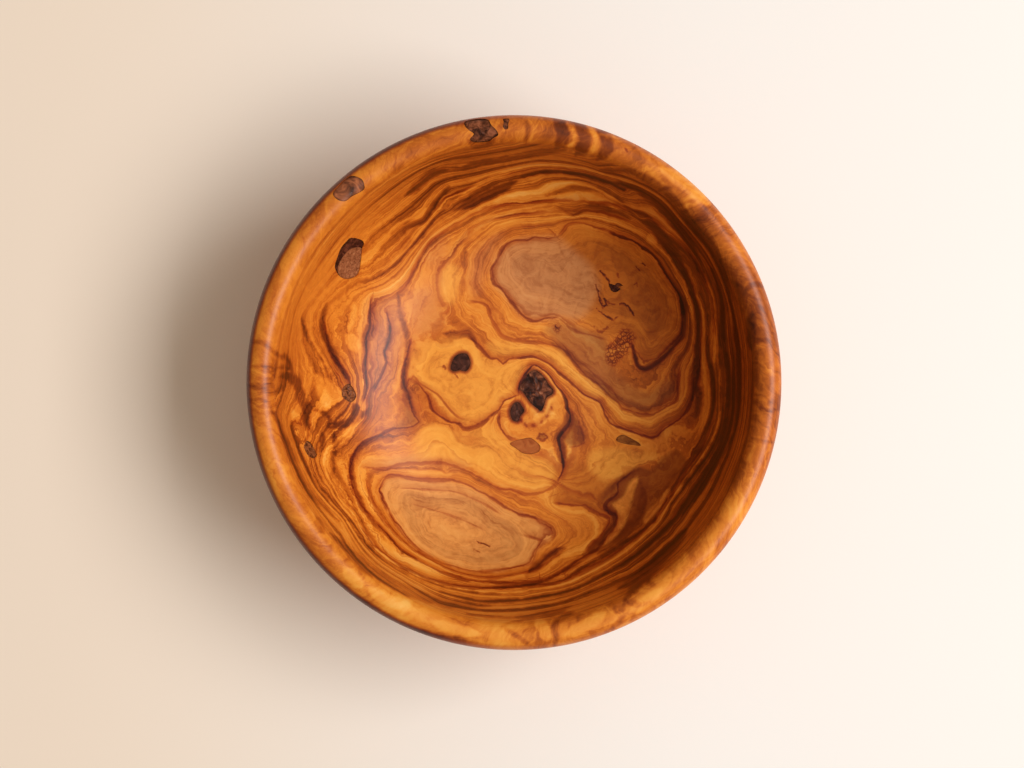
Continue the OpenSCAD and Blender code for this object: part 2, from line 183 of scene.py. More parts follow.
# Dark bands with pointed ends, of wood except for some painted shade on the rim: half width in pixels, points
# in the photo
darkBands = {
    "leftCornice": (4, [(449, 169), (431, 174), (418, 186), (405, 196)]),
    "leftBroad": (3.5, [(449, 186), (440, 196), (431, 208), (424, 220), (408, 225), (395, 235),
        (377, 253)]),
    "leftThread": (1.5, [(449, 205), (436, 217), (423, 234), (408, 251), (394, 266), (380, 277)]),
    "leftInner": (1.8, [(449, 230), (434, 241), (423, 253), (417, 265), (411, 276), (406, 285)]),
    "topEdge": (3, [(442, 167), (461, 168), (480, 163), (507, 159), (535, 153), (555, 151), (578, 147)]),
    "topBroad": (4.5, [(455, 210), (479, 200), (499, 190), (517, 181)]),
    "topMiddle": (2, [(520, 177), (545, 172), (575, 174), (600, 180), (625, 190)]),
    "topRight": (4, [(546, 195), (562, 191), (575, 187), (594, 190), (613, 199), (628, 208), (640, 217)]),
    "topInner": (3, [(555, 206), (574, 213), (588, 208), (616, 211), (630, 219)]),
    "rightCornice": (4, [(600, 170), (624, 170), (640, 175), (661, 188), (675, 201), (687, 217), (700, 233),
        (711, 246), (722, 268), (730, 295)]),
    "rightSecond": (4, [(618, 182), (640, 190), (658, 203), (672, 218), (684, 236), (696, 258),
        (706, 282)]),
    "rightThird": (5, [(618, 210), (636, 213), (651, 224), (663, 239), (673, 253), (681, 267), (690, 287)]),
    "greyEdge": (3, [(666, 273), (675, 287), (682, 300), (684, 311), (683, 327), (681, 336), (672, 346),
        (662, 358), (650, 366), (640, 368), (634, 352), (635, 338)]),
    "eastFirst": (3.5, [(690, 289), (696, 308), (697, 327), (697, 346), (697, 366), (695, 385),
        (692, 400)]),
    "eastThin": (1.5, [(700, 292), (707, 316), (707, 337), (708, 356), (713, 380), (713, 404), (707, 426),
        (694, 452), (672, 490)]),
    "eastThird": (2, [(714, 318), (718, 345), (718, 380), (718, 409), (712, 434), (701, 453), (688, 474),
        (670, 497)]),
    "eastLong": (2, [(712, 268), (719, 290), (722, 308), (722, 337), (727, 366), (728, 382), (726, 409),
        (719, 437), (710, 453), (696, 472), (671, 505)]),
    "eastWide": (4, [(728, 290), (734, 320), (737, 350), (737, 382), (735, 410), (727, 440), (715, 463),
        (700, 487), (680, 514), (655, 540)]),
    "eastFoot": (3, [(697, 385), (699, 399), (696, 418)]),
    "footFirst": (1.6, [(480, 588), (517, 586), (544, 581), (566, 570), (584, 558), (598, 548)]),
    "footSecond": (1.8, [(480, 592), (526, 590), (560, 581), (584, 567), (612, 550), (633, 537),
        (656, 520)]),
    "footThird": (1.8, [(440, 592), (480, 601), (518, 600), (550, 595), (578, 587), (605, 573), (630, 558),
        (653, 540), (671, 523)]),
    "footFourth": (1.5, [(440, 603), (480, 610), (520, 609), (556, 603), (587, 592), (618, 577)]),
    "footFifth": (1.6, [(466, 614), (510, 618), (541, 614), (572, 606)]),
    "footRight": (6, [(618, 588), (642, 577), (664, 555), (687, 529)]),
    "tooth": (5, [(526, 576), (541, 563), (553, 554), (566, 548)]),
    "lowBroad": (5, [(330, 533), (351, 553), (371, 571), (397, 586), (422, 596), (453, 604), (490, 607)]),
    "lowThin": (1.5, [(354, 528), (366, 544), (382, 558), (402, 570), (421, 579), (440, 585), (466, 591),
        (500, 594)]),
    "westEdge": (3, [(271, 408), (280, 427), (289, 450), (298, 470), (308, 489), (322, 505), (340, 522)]),
    "westSecond": (2, [(291, 427), (298, 448), (308, 467), (317, 485), (331, 500), (347, 517), (363, 536)]),
    "westThird": (2.5, [(324, 464), (331, 479), (340, 497), (355, 513), (363, 525), (375, 537)]),
    "westFourth": (2.5, [(333, 456), (335, 470), (343, 483), (352, 499), (358, 513)]),
    "ringLow": (2, [(384, 433), (368, 441), (358, 448), (352, 458), (351, 472), (355, 488), (363, 505),
        (370, 516)]),
    "ringHigh": (3, [(398, 293), (400, 314), (405, 328), (408, 344), (407, 360), (404, 374), (404, 386),
        (408, 392), (410, 402), (416, 415)]),
    "flameThick": (2.8, [(327, 304), (322, 319), (323, 332), (330, 347), (338, 363), (346, 378)]),
    "flameThin": (1.5, [(302, 318), (305, 332), (311, 343), (321, 358), (330, 377), (337, 392),
        (342, 397)]),
    "crackEdge": (1.5, [(264, 345), (278, 356), (284, 355), (290, 364), (296, 380), (300, 392), (303, 405),
        (308, 430)]),
    "flameZone": (4.5, [(279, 378), (290, 376), (299, 389), (302, 408)]),
    "crackFoot": (2, [(262, 394), (271, 393), (279, 391), (285, 379)]),
    "crackBite": (1.6, [(269, 348), (276, 353), (281, 357), (285, 353)]),
    "crackTeeth": (1.4, [(303, 398), (306, 406), (309, 404), (313, 409), (321, 411), (327, 415), (330, 420),
        (327, 427)]),
    "crackWave": (0.8, [(272, 371), (281, 367), (290, 368), (295, 374)]),
    "crackOne": (2, [(306, 403), (309, 412), (307, 420), (310, 430), (306, 442)]),
    "crackTwo": (4, [(369, 409), (361, 415), (356, 408), (355, 418), (348, 423), (338, 425), (330, 428)]),
    "crackThree": (2.4, [(322, 432), (323, 442), (319, 455)]),
    "crackFour": (2.4, [(334, 433), (336, 444), (334, 457)]),
    "leftStem": (4, [(369, 313), (370, 324), (366, 335), (366, 349), (364, 363), (366, 378), (368, 389)]),
    "leftBlob": (6, [(372, 323), (369, 333), (366, 342)]),
    "leftTwig": (2.5, [(387, 317), (389, 328), (389, 340), (384, 351), (387, 358)]),
    "smudgeHigh": (3, [(465, 249), (466, 260), (465, 272)]),
    "smudgeLow": (3, [(463, 278), (463, 286), (462, 294)]),
    "yolkTop": (4, [(442, 333), (455, 335), (468, 333), (476, 342)]),
    "tearLump": (5, [(575, 425), (579, 434), (581, 443)]),
    "tear": (6, [(567, 406), (570, 415), (568, 425), (561, 434), (559, 445), (562, 457), (563, 469)]),
    "fishLeft": (2.6, [(640, 468), (627, 475), (617, 482), (610, 490), (601, 496), (600, 503), (607, 510),
        (615, 515), (615, 524), (609, 532), (601, 541), (592, 549), (578, 557)]),
    "fishRight": (4, [(640, 481), (643, 494), (640, 512), (632, 525), (622, 536), (610, 546), (598, 553)]),
    "rimTopOne": (2, [(525, 118), (528, 131), (525, 144)]),
    "rimTopTwo": (6, [(554, 119), (562, 129), (563, 139), (555, 151)]),
    "rimTopThree": (6, [(575, 122), (584, 132), (585, 143), (575, 156)]),
    "rimTopFour": (6, [(597, 128), (606, 138), (607, 149), (597, 160)]),
    "barkFoot": (4, [(468, 140), (475, 145), (484, 144), (496, 138)]),
    "rimArch": (2, [(746, 292), (750, 285), (757, 284), (765, 288)]),
    # dark wood and painted shade where the right rim's inner edge falls into shadow
    "rimBlackAndShade": (4.5, [(752, 312), (751, 330), (752, 350)]),
    "rimCross": (2.2, [(752, 343), (761, 340), (771, 342)]),
    "rimLineOne": (1.5, [(757, 406), (768, 411), (777, 409)]),
    "rimLineTwo": (1.5, [(752, 438), (764, 442), (774, 442)]),
    "rimHook": (2, [(647, 576), (648, 583), (656, 585)]),
    "rimVee": (3, [(648, 574), (630, 594), (626, 600), (640, 605), (650, 602)]),
    "rimArc": (1.8, [(614, 604), (616, 612), (622, 611), (624, 602)]),
    "rimSlant": (1.8, [(626, 615), (614, 627), (602, 635)]),
    "rimBandOne": (2.8, [(574, 612), (556, 622), (554, 632), (557, 638), (554, 648)]),
    "rimWedgeTop": (1.8, [(501, 627), (512, 622), (526, 619), (545, 616), (566, 611)]),
    "rimWedgeLow": (2, [(501, 627), (511, 632), (524, 641), (534, 648)]),
    # painted shade along the outer edge of the rim at the lower left, away from the lamp
    "rimEdgeShadeLow": (2.5, [(340, 582), (352, 592), (375, 608), (398, 621), (425, 632), (450, 638),
        (480, 643)]),
    "rimSlit": (3.5, [(315, 516), (319, 525), (325, 534)]),
    "rimLeftOne": (1.6, [(251, 343), (262, 342), (271, 347)]),
    "rimLeftTwo": (1.6, [(250, 367), (262, 366), (274, 369)]),
    "rimLeftThree": (1.6, [(250, 387), (262, 388), (272, 393)]),
    "rimLeftFour": (1.6, [(250, 399), (262, 400), (270, 404)]),
}
# Light bands in the same way, of wood except for a painted highlight on the rim
lightBands = {
    "leftBright": (1.5, [(449, 200), (436, 214), (421, 230), (408, 248), (390, 266), (373, 279)]),
    "topLong": (2, [(424, 231), (438, 214), (448, 207), (466, 193), (487, 180), (513, 170), (535, 166),
        (560, 166), (586, 169), (607, 175), (630, 182), (645, 189), (660, 198)]),
    "topSecond": (2, [(479, 211), (496, 203), (518, 194), (539, 193), (549, 186), (569, 183), (588, 185),
        (607, 194)]),
    "topArea": (5, [(549, 201), (567, 198), (600, 196), (616, 206), (630, 214)]),
    "topThird": (2, [(468, 228), (483, 219), (504, 214), (527, 207), (546, 204), (560, 205)]),
    "topWide": (3, [(452, 259), (458, 246), (475, 233), (493, 222), (510, 218), (532, 215), (552, 212),
        (572, 214)]),
    "patchTail": (5, [(449, 300), (446, 280), (452, 262), (460, 243), (467, 229)]),
    "cornerArea": (4, [(648, 234), (656, 243)]),
    "eastThread": (1.2, [(676, 276), (684, 291), (691, 308), (694, 324), (694, 343)]),
    "eastBand": (2.5, [(696, 296), (703, 312), (703, 337), (703, 356), (706, 380), (708, 404), (704, 423),
        (692, 446)]),
    "eastSpindle": (3, [(713, 319), (714, 338), (713, 361)]),
    "westThread": (1, [(294, 460), (306, 483), (320, 505), (333, 521), (345, 535), (355, 553), (376, 574),
        (402, 591)]),
    "westBright": (3.5, [(364, 524), (382, 543), (392, 553), (408, 560), (434, 571), (459, 577)]),
    "westStreak": (3, [(354, 303), (353, 318), (349, 330)]),
    "westPatch": (6, [(346, 336), (353, 342), (357, 352)]),
    "tanShine": (2.5, [(406, 472), (430, 473), (452, 474)]),
    "rayOne": (2, [(444, 448), (444, 460), (445, 473)]),
    "bandLight": (2.5, [(598, 384), (606, 390), (614, 396)]),
    # painted highlight on the upper right of the rim
    "rimHighlight": (7, [(660, 168), (678, 178), (692, 189), (710, 205)]),
    "rimGapOne": (2.5, [(565, 120), (573, 131), (574, 141), (566, 152)]),
    "rimGapTwo": (2.5, [(586, 125), (595, 135), (596, 146), (587, 157)]),
    "rimLowOne": (6, [(344, 568), (353, 578), (362, 588)]),
    "rimLowTwo": (6, [(368, 588), (388, 600), (414, 609)]),
    "rimLowThree": (5, [(430, 621), (450, 628), (480, 634)]),
    "rimEast": (6, [(536, 618), (545, 631), (546, 643)]),
    "rimOval": (6, [(565, 635), (585, 626), (606, 612)]),
    "rimOvalTwo": (5, [(630, 612), (646, 601), (663, 588)]),
    "crackGlow": (5, [(318, 374), (322, 392), (330, 408)]),
    "crackGlowLow": (4, [(293, 410), (300, 428), (304, 440)]),
    "crackGlowEast": (4, [(342, 438), (351, 431), (362, 424)]),
}
# Short dark lines and marks: darkness, points
sideLines = {
    "yolkInner": (0.5, [(421, 384), (430, 390), (437, 394), (443, 401), (450, 410), (459, 418),
        (466, 420)]),
    "tearDrop": (0.45, [(571, 410), (576, 415), (579, 423), (583, 435), (584, 443), (578, 446),
        (570, 447)]),
    "greyBranch": (0.7, [(557, 237), (553, 232), (548, 228)]),
    "tanRight": (0.5, [(523, 535), (530, 537), (537, 539), (543, 541)]),
    "tanInner": (0.35, [(400, 488), (430, 490), (455, 492), (480, 502), (500, 514)]),
    "tanSecond": (0.3, [(412, 504), (440, 512), (462, 520), (484, 530)]),
}
# Small crisp strokes, black and brown, and a row of small kernels
blackMarks = {
    "eyeTail": [(601, 271), (605, 275), (609, 280), (610, 285)],
    "scarEdge": [(596, 285), (599, 292), (600, 300), (602, 306), (607, 306)],
    "scarFoot": [(597, 309), (602, 313), (608, 318), (613, 320), (618, 317)],
    "scarSide": [(620, 304), (625, 304), (629, 309), (634, 315)], "scarDrop": [(604, 299), (606, 305)],
    "dotOne": [(642, 263), (645, 266)], "dotTwo": [(636, 266), (639, 270)],
    "tanSlit": [(478, 542), (489, 546)], "kernelTop": [(556, 326), (559, 327)],
}
brownMarks = {
    "eyeMark": [(594, 327), (598, 331), (602, 332), (607, 327)], "dotThree": [(617, 274), (619, 277)],
    "eyeRing": [(634, 285), (637, 283), (638, 287)],
    "smallOval": [(537, 438), (540, 434), (545, 434), (547, 437), (543, 440), (537, 438)],
    "scarTop": [(602, 308), (608, 302), (614, 304)], "tanMark": [(475, 549), (480, 551)],
    "pithTail": [(443, 366), (446, 369)], "pithDots": [(456, 375), (458, 378)],
    "rimDot": [(625, 148), (627, 152)],
}
kernels = {
    "one": [(520, 420), (521, 421)], "two": [(526, 424), (527, 425)], "three": [(533, 425), (534, 425)],
    "four": [(541, 422), (542, 421)], "five": [(547, 416), (547, 415)], "six": [(551, 409), (551, 408)],
}
kernelArc = {"arc": [(519, 420), (526, 425), (534, 425), (541, 422), (547, 416), (551, 407)]}

# Patches of one colour, as outlines in the photo
tonePatches = {
    # partly the wood's own pink tone, partly painted sheen: the reflection of the lamp along the left cove
    "roseAndSheen": [
        [(366, 300), (384, 296), (400, 300), (406, 330), (402, 360), (394, 384), (374, 392), (366, 370),
         (364, 330)],
        [(412, 296), (432, 290), (440, 308), (444, 326), (424, 336), (412, 330)],
        [(420, 262), (424, 250), (432, 240), (443, 234), (449, 238), (446, 250), (441, 264), (432, 266)],
        [(470, 258), (484, 240), (502, 232), (500, 246), (490, 264), (484, 282), (476, 296), (468, 284)],
        [(362, 463), (385, 460), (412, 457), (440, 457), (470, 463), (458, 471), (436, 467), (405, 468),
         (378, 471)],
        [(449, 508), (462, 508), (484, 520), (480, 525), (462, 518)],
    ],
    "dusk": [
        [(545, 330), (560, 322), (585, 330), (605, 338), (610, 360), (618, 372), (632, 385), (650, 392),
         (668, 380), (676, 392), (660, 405), (640, 410), (622, 404), (606, 388), (590, 374), (572, 356),
         (556, 342)],
        [(404, 388), (409, 397), (411, 408), (419, 422), (410, 427), (394, 428), (403, 420), (405, 405)],
    ],
    "amber": [
        [(560, 240), (575, 226), (600, 231), (630, 243), (655, 261), (672, 286), (681, 310), (680, 332),
         (664, 354), (647, 366), (637, 350), (628, 334), (606, 334), (588, 322), (586, 300), (588, 270),
         (575, 252)],
        [(562, 462), (571, 454), (578, 460), (590, 470), (600, 477), (612, 484), (602, 497), (606, 508),
         (598, 514), (584, 507), (554, 503), (549, 496), (558, 484)],
        [(563, 463), (553, 466), (543, 469), (549, 476), (556, 483), (560, 476)],
    ],
    "grey": [
        [(557, 238), (534, 238), (515, 241), (500, 252), (493, 268), (495, 285), (508, 298), (524, 316),
         (540, 319), (560, 317), (580, 318), (592, 304), (598, 285), (592, 268), (575, 252)],
    ],
    "tan": [
        [(388, 511), (381, 490), (387, 478), (405, 478), (431, 481), (457, 482), (484, 494), (507, 508),
         (535, 518), (554, 533), (536, 551), (530, 564), (495, 571), (467, 570), (439, 560), (411, 543)],
    ],
    "brown": [
        [(552, 343), (568, 350), (584, 366), (602, 381), (616, 394), (622, 404), (614, 402), (596, 386),
         (578, 369), (564, 354)],
        [(571, 411), (578, 420), (583, 433), (584, 443), (572, 446), (562, 440), (569, 426)],
        [(566, 408), (571, 413), (572, 424), (566, 433), (565, 442), (566, 455), (564, 468), (559, 460),
         (557, 446), (556, 438), (561, 429), (566, 420)],
        [(537, 437), (540, 433), (545, 434), (547, 437), (544, 440), (539, 440)],
        [(612, 482), (626, 473), (640, 466), (652, 470), (661, 459), (676, 451), (688, 461), (682, 472),
         (668, 488), (652, 508), (640, 524), (622, 537), (606, 548), (592, 553), (585, 552), (604, 532),
         (611, 520), (606, 509), (602, 497)],
    ],
    "yellow": [
        [(418, 345), (440, 338), (466, 340), (484, 356), (502, 364), (522, 361), (524, 372), (518, 386),
         (505, 397), (494, 412), (478, 422), (462, 424), (448, 416), (436, 402), (424, 388), (412, 378),
         (410, 362)],
        [(420, 430), (440, 424), (462, 432), (490, 424), (499, 432), (512, 442), (530, 456), (548, 458),
         (556, 468), (545, 486), (520, 486), (496, 480), (470, 465), (440, 458), (415, 456)],
        [(439, 275), (448, 264), (457, 268), (460, 280), (456, 296), (449, 306), (441, 296)],
        [(488, 343), (506, 340), (530, 346), (556, 352), (572, 368), (588, 384), (600, 394), (596, 398),
         (576, 384), (558, 366), (540, 354), (505, 355), (492, 354)],
        [(590, 452), (612, 448), (640, 452), (655, 458), (640, 465), (622, 474), (604, 480), (590, 468)],
    ],
    "fish": [
        [(638, 475), (630, 482), (623, 496), (612, 505), (618, 511), (618, 519), (611, 532), (598, 549),
         (607, 544), (619, 532), (627, 519), (631, 504), (634, 492)],
        [(669, 489), (657, 501), (647, 512), (643, 525), (652, 516), (663, 505)],
    ],
    "scar": [
        [(622, 328), (628, 328), (633, 333), (635, 339), (631, 346), (627, 354), (620, 360), (614, 367),
         (608, 364), (605, 354), (606, 346), (614, 340)],
        [(553, 327), (558, 325), (561, 330), (557, 334)],
    ],
}
# Places painted darker (-) or lighter (+) than elsewhere: amount, reach in pixels, middle. Most are wood
# tone, some are painted shade and painted highlight
toneAndPaintedLightSpots = {
    # Painted shade: east, eastHigh, eastLow, southEast and northEast darken the right wall where the rim's
    # shadow falls. Painted highlight: rimNorthEast, rimEastLow, rimSouthEast and rimFootEast lighten the rim
    # at the right
    "east": (-0.16, 55, (730, 384)), "eastHigh": (-0.17, 50, (715, 295)),
    "eastLow": (-0.14, 50, (705, 470)), "southEast": (-0.15, 45, (655, 545)),
    "northEast": (-0.1, 45, (675, 235)), "north": (-0.08, 45, (600, 185)),
    "northWest": (-0.1, 50, (470, 190)), "westWall": (-0.05, 50, (350, 350)),
    "amberEast": (-0.06, 30, (655, 315)), "knotSide": (0.02, 40, (312, 286)),
    "rimSouth": (0.18, 26, (500, 636)), "rimWest": (-0.03, 34, (260, 384)),
    "rimNorthEast": (0.02, 20, (698, 193)), "rimEast": (0.03, 18, (771, 384)),
    "rimSouthEast": (0.11, 28, (695, 556)), "rimLow": (0.06, 24, (610, 622)),
    "amberNorth": (0.09, 24, (588, 243)), "rimBlotch": (-0.13, 15, (703, 219)),
    "footWest": (0.13, 44, (412, 592)), "westCrack": (-0.12, 22, (344, 437)),
    "westFold": (-0.14, 28, (384, 410)), "rimEastLow": (0.17, 26, (740, 514)),
    "rimFootEast": (0.12, 24, (672, 584)), "kernels": (-0.12, 22, (541, 424)),
    "rimNorth": (-0.07, 18, (567, 129)), "greyNorth": (-0.07, 18, (624, 241)),
    "northInner": (-0.05, 22, (540, 213)), "duskLow": (-0.08, 28, (640, 367)),
    "knotTop": (-0.04, 22, (402, 204)), "greySide": (-0.05, 20, (484, 241)),
    "westZone": (-0.09, 14, (282, 376)), "westMottle": (-0.04, 13, (317, 424)),
    "southWest": (0.07, 26, (350, 504)), "tearSide": (-0.05, 16, (569, 410)),
}
# Places where the figure is plain, in the same way
calmSpots = {
    "knotSide": (0.8, 46, (316, 292)), "knotTop": (0.7, 34, (356, 214)), "westPatch": (0.5, 16, (352, 345)),
    "westRim": (0.55, 26, (284, 345)), "westGlow": (0.5, 14, (316, 386)),
}
print("figure drawn:", len(growthLines) + len(darkBands) + len(lightBands) + len(sideLines), "lines")

# How the drawn figure is measured, in photo pixels
drawing = {
    "lineStep": 5, "patchStep": 6, "knotStep": 1, "far": 30, "reach": 34,
    "endLength": 9, "endInk": 0.25, "inkReach": 10, "inkFade": 4,  # a line fades at its ends and sides
    "bandTaper": 3.5, "bandTip": 0.15,
}


def smoothLine(points, step, closed=False):
    # an even curve through hand-set points
    pts = np.array(points, float)
    count = len(pts)
    out = []
    for i in range(count if closed else count - 1):
        near = [(i + k) % count if closed else min(max(i + k, 0), count - 1) for k in (-1, 0, 1, 2)]
        a, b, c, d = pts[near]
        parts = max(1, int(round(np.hypot(*(c - b)) / step)))
        t = (np.arange(parts) / parts)[:, None]
        square, cube = 2 * a - 5 * b + 4 * c - d, 3 * b - a - 3 * c + d
        out.append(0.5 * (2 * b + (c - a) * t + square * t ** 2 + cube * t ** 3))
    if not closed:
        out.append(pts[-1:])
    return np.concatenate(out)


def pathDistance(spots, path):
    # pixels to a path, on which side of it, and how far along it (0 to 1)
    away, side, share = np.full(len(spots), np.inf), np.ones(len(spots)), np.zeros(len(spots))
    count = len(path) - 1
    for i in range(count):
        a, along = path[i], path[i + 1] - path[i]
        rel = spots - a
        t = np.clip((rel @ along) / max(along @ along, 1e-9), 0, 1)
        d = np.hypot(*(rel - t[:, None] * along).T)
        near = d < away
        away[near], share[near] = d[near], (i + t[near]) / count
        side[near] = np.where(rel[near, 0] * along[1] - rel[near, 1] * along[0] > 0, 1.0, -1.0)
    return away, side, share


def closeTo(spots, points):
    # only the spots near a drawn line are measured
    low, high = np.min(points, axis=0) - drawing["reach"], np.max(points, axis=0) + drawing["reach"]
    return np.flatnonzero(np.all((spots > low) & (spots < high), axis=1))


def nearestLine(spots, lines):
    # signed pixels to the nearest line, and that line's darkness, which fades towards its ends
    best, ink = np.full(len(spots), float(drawing["far"])), np.zeros(len(spots))
    for darkness, points in lines:
        pick = closeTo(spots, points)
        path = smoothLine(points, drawing["lineStep"])
        away, side, share = pathDistance(spots[pick], path)
        near = away < np.abs(best[pick])
        best[pick[near]] = (away * side)[near]
        toEnd = np.minimum(share, 1 - share) * np.sum(np.hypot(*np.diff(path, axis=0).T))
        ends = np.clip(toEnd / drawing["endLength"] + drawing["endInk"], 0, 1)
        ends = ends * np.clip((drawing["inkReach"] - away) / drawing["inkFade"], 0, 1)
        ink[pick[near]] = (darkness * ends)[near]
    return best, ink


def bandDepth(spots, bands):
    # pixels inside (+) the nearest band, which narrows to a point at both ends
    best = np.full(len(spots), -float(drawing["far"]))
    for half, points in bands.values():
        pick = closeTo(spots, points)
        away, _, share = pathDistance(spots[pick], smoothLine(points, drawing["lineStep"]))
        wide = half * np.minimum(1, drawing["bandTaper"] * np.minimum(share, 1 - share) + drawing["bandTip"])
        best[pick] = np.maximum(best[pick], wide - away)
    return best


def signedPatch(spots, outlines):
    # pixels inside (+) or outside (-) the nearest of the outlines
    best = np.full(len(spots), -float(drawing["far"]))
    for outline in outlines:
        pick = closeTo(spots, outline)
        near = spots[pick]
        ring = smoothLine(outline, drawing["patchStep"], closed=True)
        away = pathDistance(near, np.vstack([ring, ring[:1]]))[0]
        inside = np.zeros(len(near), bool)
        for a, b in zip(ring, np.roll(ring, -1, axis=0)):
            if a[1] != b[1]:
                at = a[0] + (near[:, 1] - a[1]) / (b[1] - a[1]) * (b[0] - a[0])
                inside ^= ((a[1] > near[:, 1]) != (b[1] > near[:, 1])) & (near[:, 0] < at)
        best[pick] = np.maximum(best[pick], np.where(inside, away, -away))
    return best


# How layer numbers are spread between the lines: steps in pixels, unit in mm, slack where they are given
spreading = {
    "lineStep": 10, "bandStep": 12, "widestBand": 4, "skipped": ("rim", "crack"), "unit": 50,
    "lineSlack": 0.01, "spotSlack": 0.02, "wallPlaces": 24, "block": 4000,
}


def insideReach(height):
    # how far out the inside of the bowl is at a height
    if height < coveEndZ:
        return floorRadius + math.sqrt(coveRadius ** 2 - (coveZ - height) ** 2)
    return coveEndX + (height - coveEndZ) / math.tan(slope)


def growthField():
    # a smooth field of layer numbers: given on the growth lines and up the wall, level along each band
    where, rows, given, slack = [], [], [], []

    def hold(point, number, give):
        rows.append({len(where): 1.0})
        where.append(point)
        given.append(float(number))
        slack.append(give)

    for number, _, points in growthLines.values():
        path = smoothLine(points, spreading["lineStep"])
        for point in photoToBowl(path[:, 0], path[:, 1]):
            hold(point, number, spreading["lineSlack"])
    for number, (u, v) in growthSpots.values():
        hold(photoToBowl([u], [v])[0], number, spreading["spotSlack"])
    second = wallLayers["secondAt"]
    sides, places = len(second), spreading["wallPlaces"]
    for height in wallLayers["heights"]:
        r = insideReach(height)
        for i in range(places):
            angle, turn = 2 * math.pi * i / places, i * sides / places
            low, high = second[int(turn) % sides], second[(int(turn) + 1) % sides]
            base = low + (high - low) * (turn % 1)
            number = wallLayers["second"] + (height - base) / wallLayers["pitch"]
            hold((r * math.cos(angle), r * math.sin(angle), height), number, wallLayers["slack"])
    for name, (half, points) in {**darkBands, **lightBands}.items():
        if half > spreading["widestBand"] or name.startswith(spreading["skipped"]):
            continue
        path = smoothLine(points, spreading["bandStep"])
        first = len(where)
        where.extend(photoToBowl(path[:, 0], path[:, 1]))
        for i in range(first, len(where) - 1):
            rows.append({i: 1.0, i + 1: -1.0})
            given.append(0.0)
            slack.append(spreading["lineSlack"])

    where = np.array(where) / spreading["unit"]
    pickRows = np.zeros((len(rows), len(where)))
    for row, parts in enumerate(rows):
        for column, amount in parts.items():
            pickRows[row, column] = amount
    gap = np.linalg.norm(where[:, None] - where[None], axis=2)
    tail = pickRows @ np.hstack([np.ones((len(where), 1)), where])
    count, extra = tail.shape
    system = np.zeros((count + extra, count + extra))
    system[:count, :count] = np.diag(slack) - pickRows @ gap @ pickRows.T
    system[:count, count:], system[count:, :count] = tail, tail.T
    solved = np.linalg.solve(system, np.concatenate([given, np.zeros(extra)]))
    weights, linear = pickRows.T @ solved[:count], solved[count:]

    def layerAt(points):
        out = np.empty(len(points))
        for start in range(0, len(points), spreading["block"]):
            block = points[start:start + spreading["block"]] / spreading["unit"]
            reach = np.linalg.norm(block[:, None] - where[None], axis=2)
            out[start:start + spreading["block"]] = linear[0] - reach @ weights + block @ linear[1:]
        return out
    return layerAt


layerAt = growthField()


def addAttribute(mesh, name, values):
    data = mesh.attributes.new(name, "FLOAT", "POINT")
    data.data.foreach_set("value", np.asarray(values, np.float32))


def meshPoints(mesh):
    flat = np.empty(len(mesh.vertices) * 3)
    mesh.vertices.foreach_get("co", flat)
    return flat.reshape(-1, 3) / mm


def clearSelection():
    if bpy.context.object and bpy.context.object.mode != "OBJECT":
        bpy.ops.object.mode_set(mode="OBJECT")
    bpy.ops.object.select_all(action="DESELECT")


def selectOnly(pieces):
    # selects the pieces, and works on the first
    clearSelection()
    for piece in pieces:
        piece.select_set(True)
    bpy.context.view_layer.objects.active = pieces[0]


def editAll():
    bpy.ops.object.mode_set(mode="EDIT")
    bpy.ops.mesh.select_all(action="SELECT")


def faceOutwards():
    bpy.ops.mesh.select_all(action="SELECT")
    bpy.ops.mesh.normals_make_consistent(inside=False)
    bpy.ops.object.mode_set(mode="OBJECT")


def drawLine(dx, dz, parts):
    for part in range(parts):
        bpy.ops.mesh.extrude_region_move(
            TRANSFORM_OT_translate={"value": (dx / parts * mm, 0, dz / parts * mm)})


def drawArc(x, z, degrees, parts):
    bpy.ops.mesh.spin(steps=parts, angle=math.radians(degrees), center=(x * mm, 0, z * mm), axis=(0, -1, 0))


def turnBowl():
    # one point is drawn out along the half section, then the section is spun round the axis
    clearSelection()
    bpy.ops.mesh.primitive_plane_add(size=mm, location=(0, 0, 0))
    piece = bpy.context.object
    piece.name = "bowl"
    editAll()
    bpy.ops.mesh.merge(type="CENTER")
    bpy.ops.transform.translate(value=(0, 0, floorZ * mm))
    footTurn = math.degrees(math.asin((footRadius - floorRadius) / outsideRadius))
    footEdge = coveZ - math.sqrt(outsideRadius ** 2 - (footRadius - floorRadius) ** 2)
    drawLine(floorRadius, 0, bowl["floorSteps"])
    drawArc(floorRadius, coveZ, -bowl["wallSlope"], bowl["coveSteps"])
    drawLine(wallTopX - coveEndX, wallTopZ - coveEndZ, bowl["wallSteps"])
    drawArc(rimX, rimZ, 180, bowl["rimSteps"])
    drawLine(coveEndX - wallTopX, coveEndZ - wallTopZ, bowl["outerWallSteps"])
    drawArc(floorRadius, coveZ, bowl["wallSlope"] - footTurn, bowl["outsideSteps"])
    drawLine(0, -footEdge, bowl["footEdgeSteps"])
    drawLine(-footRadius, 0, bowl["footSteps"])
    bpy.ops.mesh.select_all(action="SELECT")
    bpy.ops.mesh.spin(steps=bowl["around"], angle=2 * math.pi, center=(0, 0, 0), axis=(0, 0, 1))
    bpy.ops.mesh.select_all(action="SELECT")
    bpy.ops.mesh.remove_doubles(threshold=bowl["merge"] * mm)
    faceOutwards()
    return piece


bowlPiece = turnBowl()
print("bowl turned:", len(bowlPiece.data.vertices), "points")

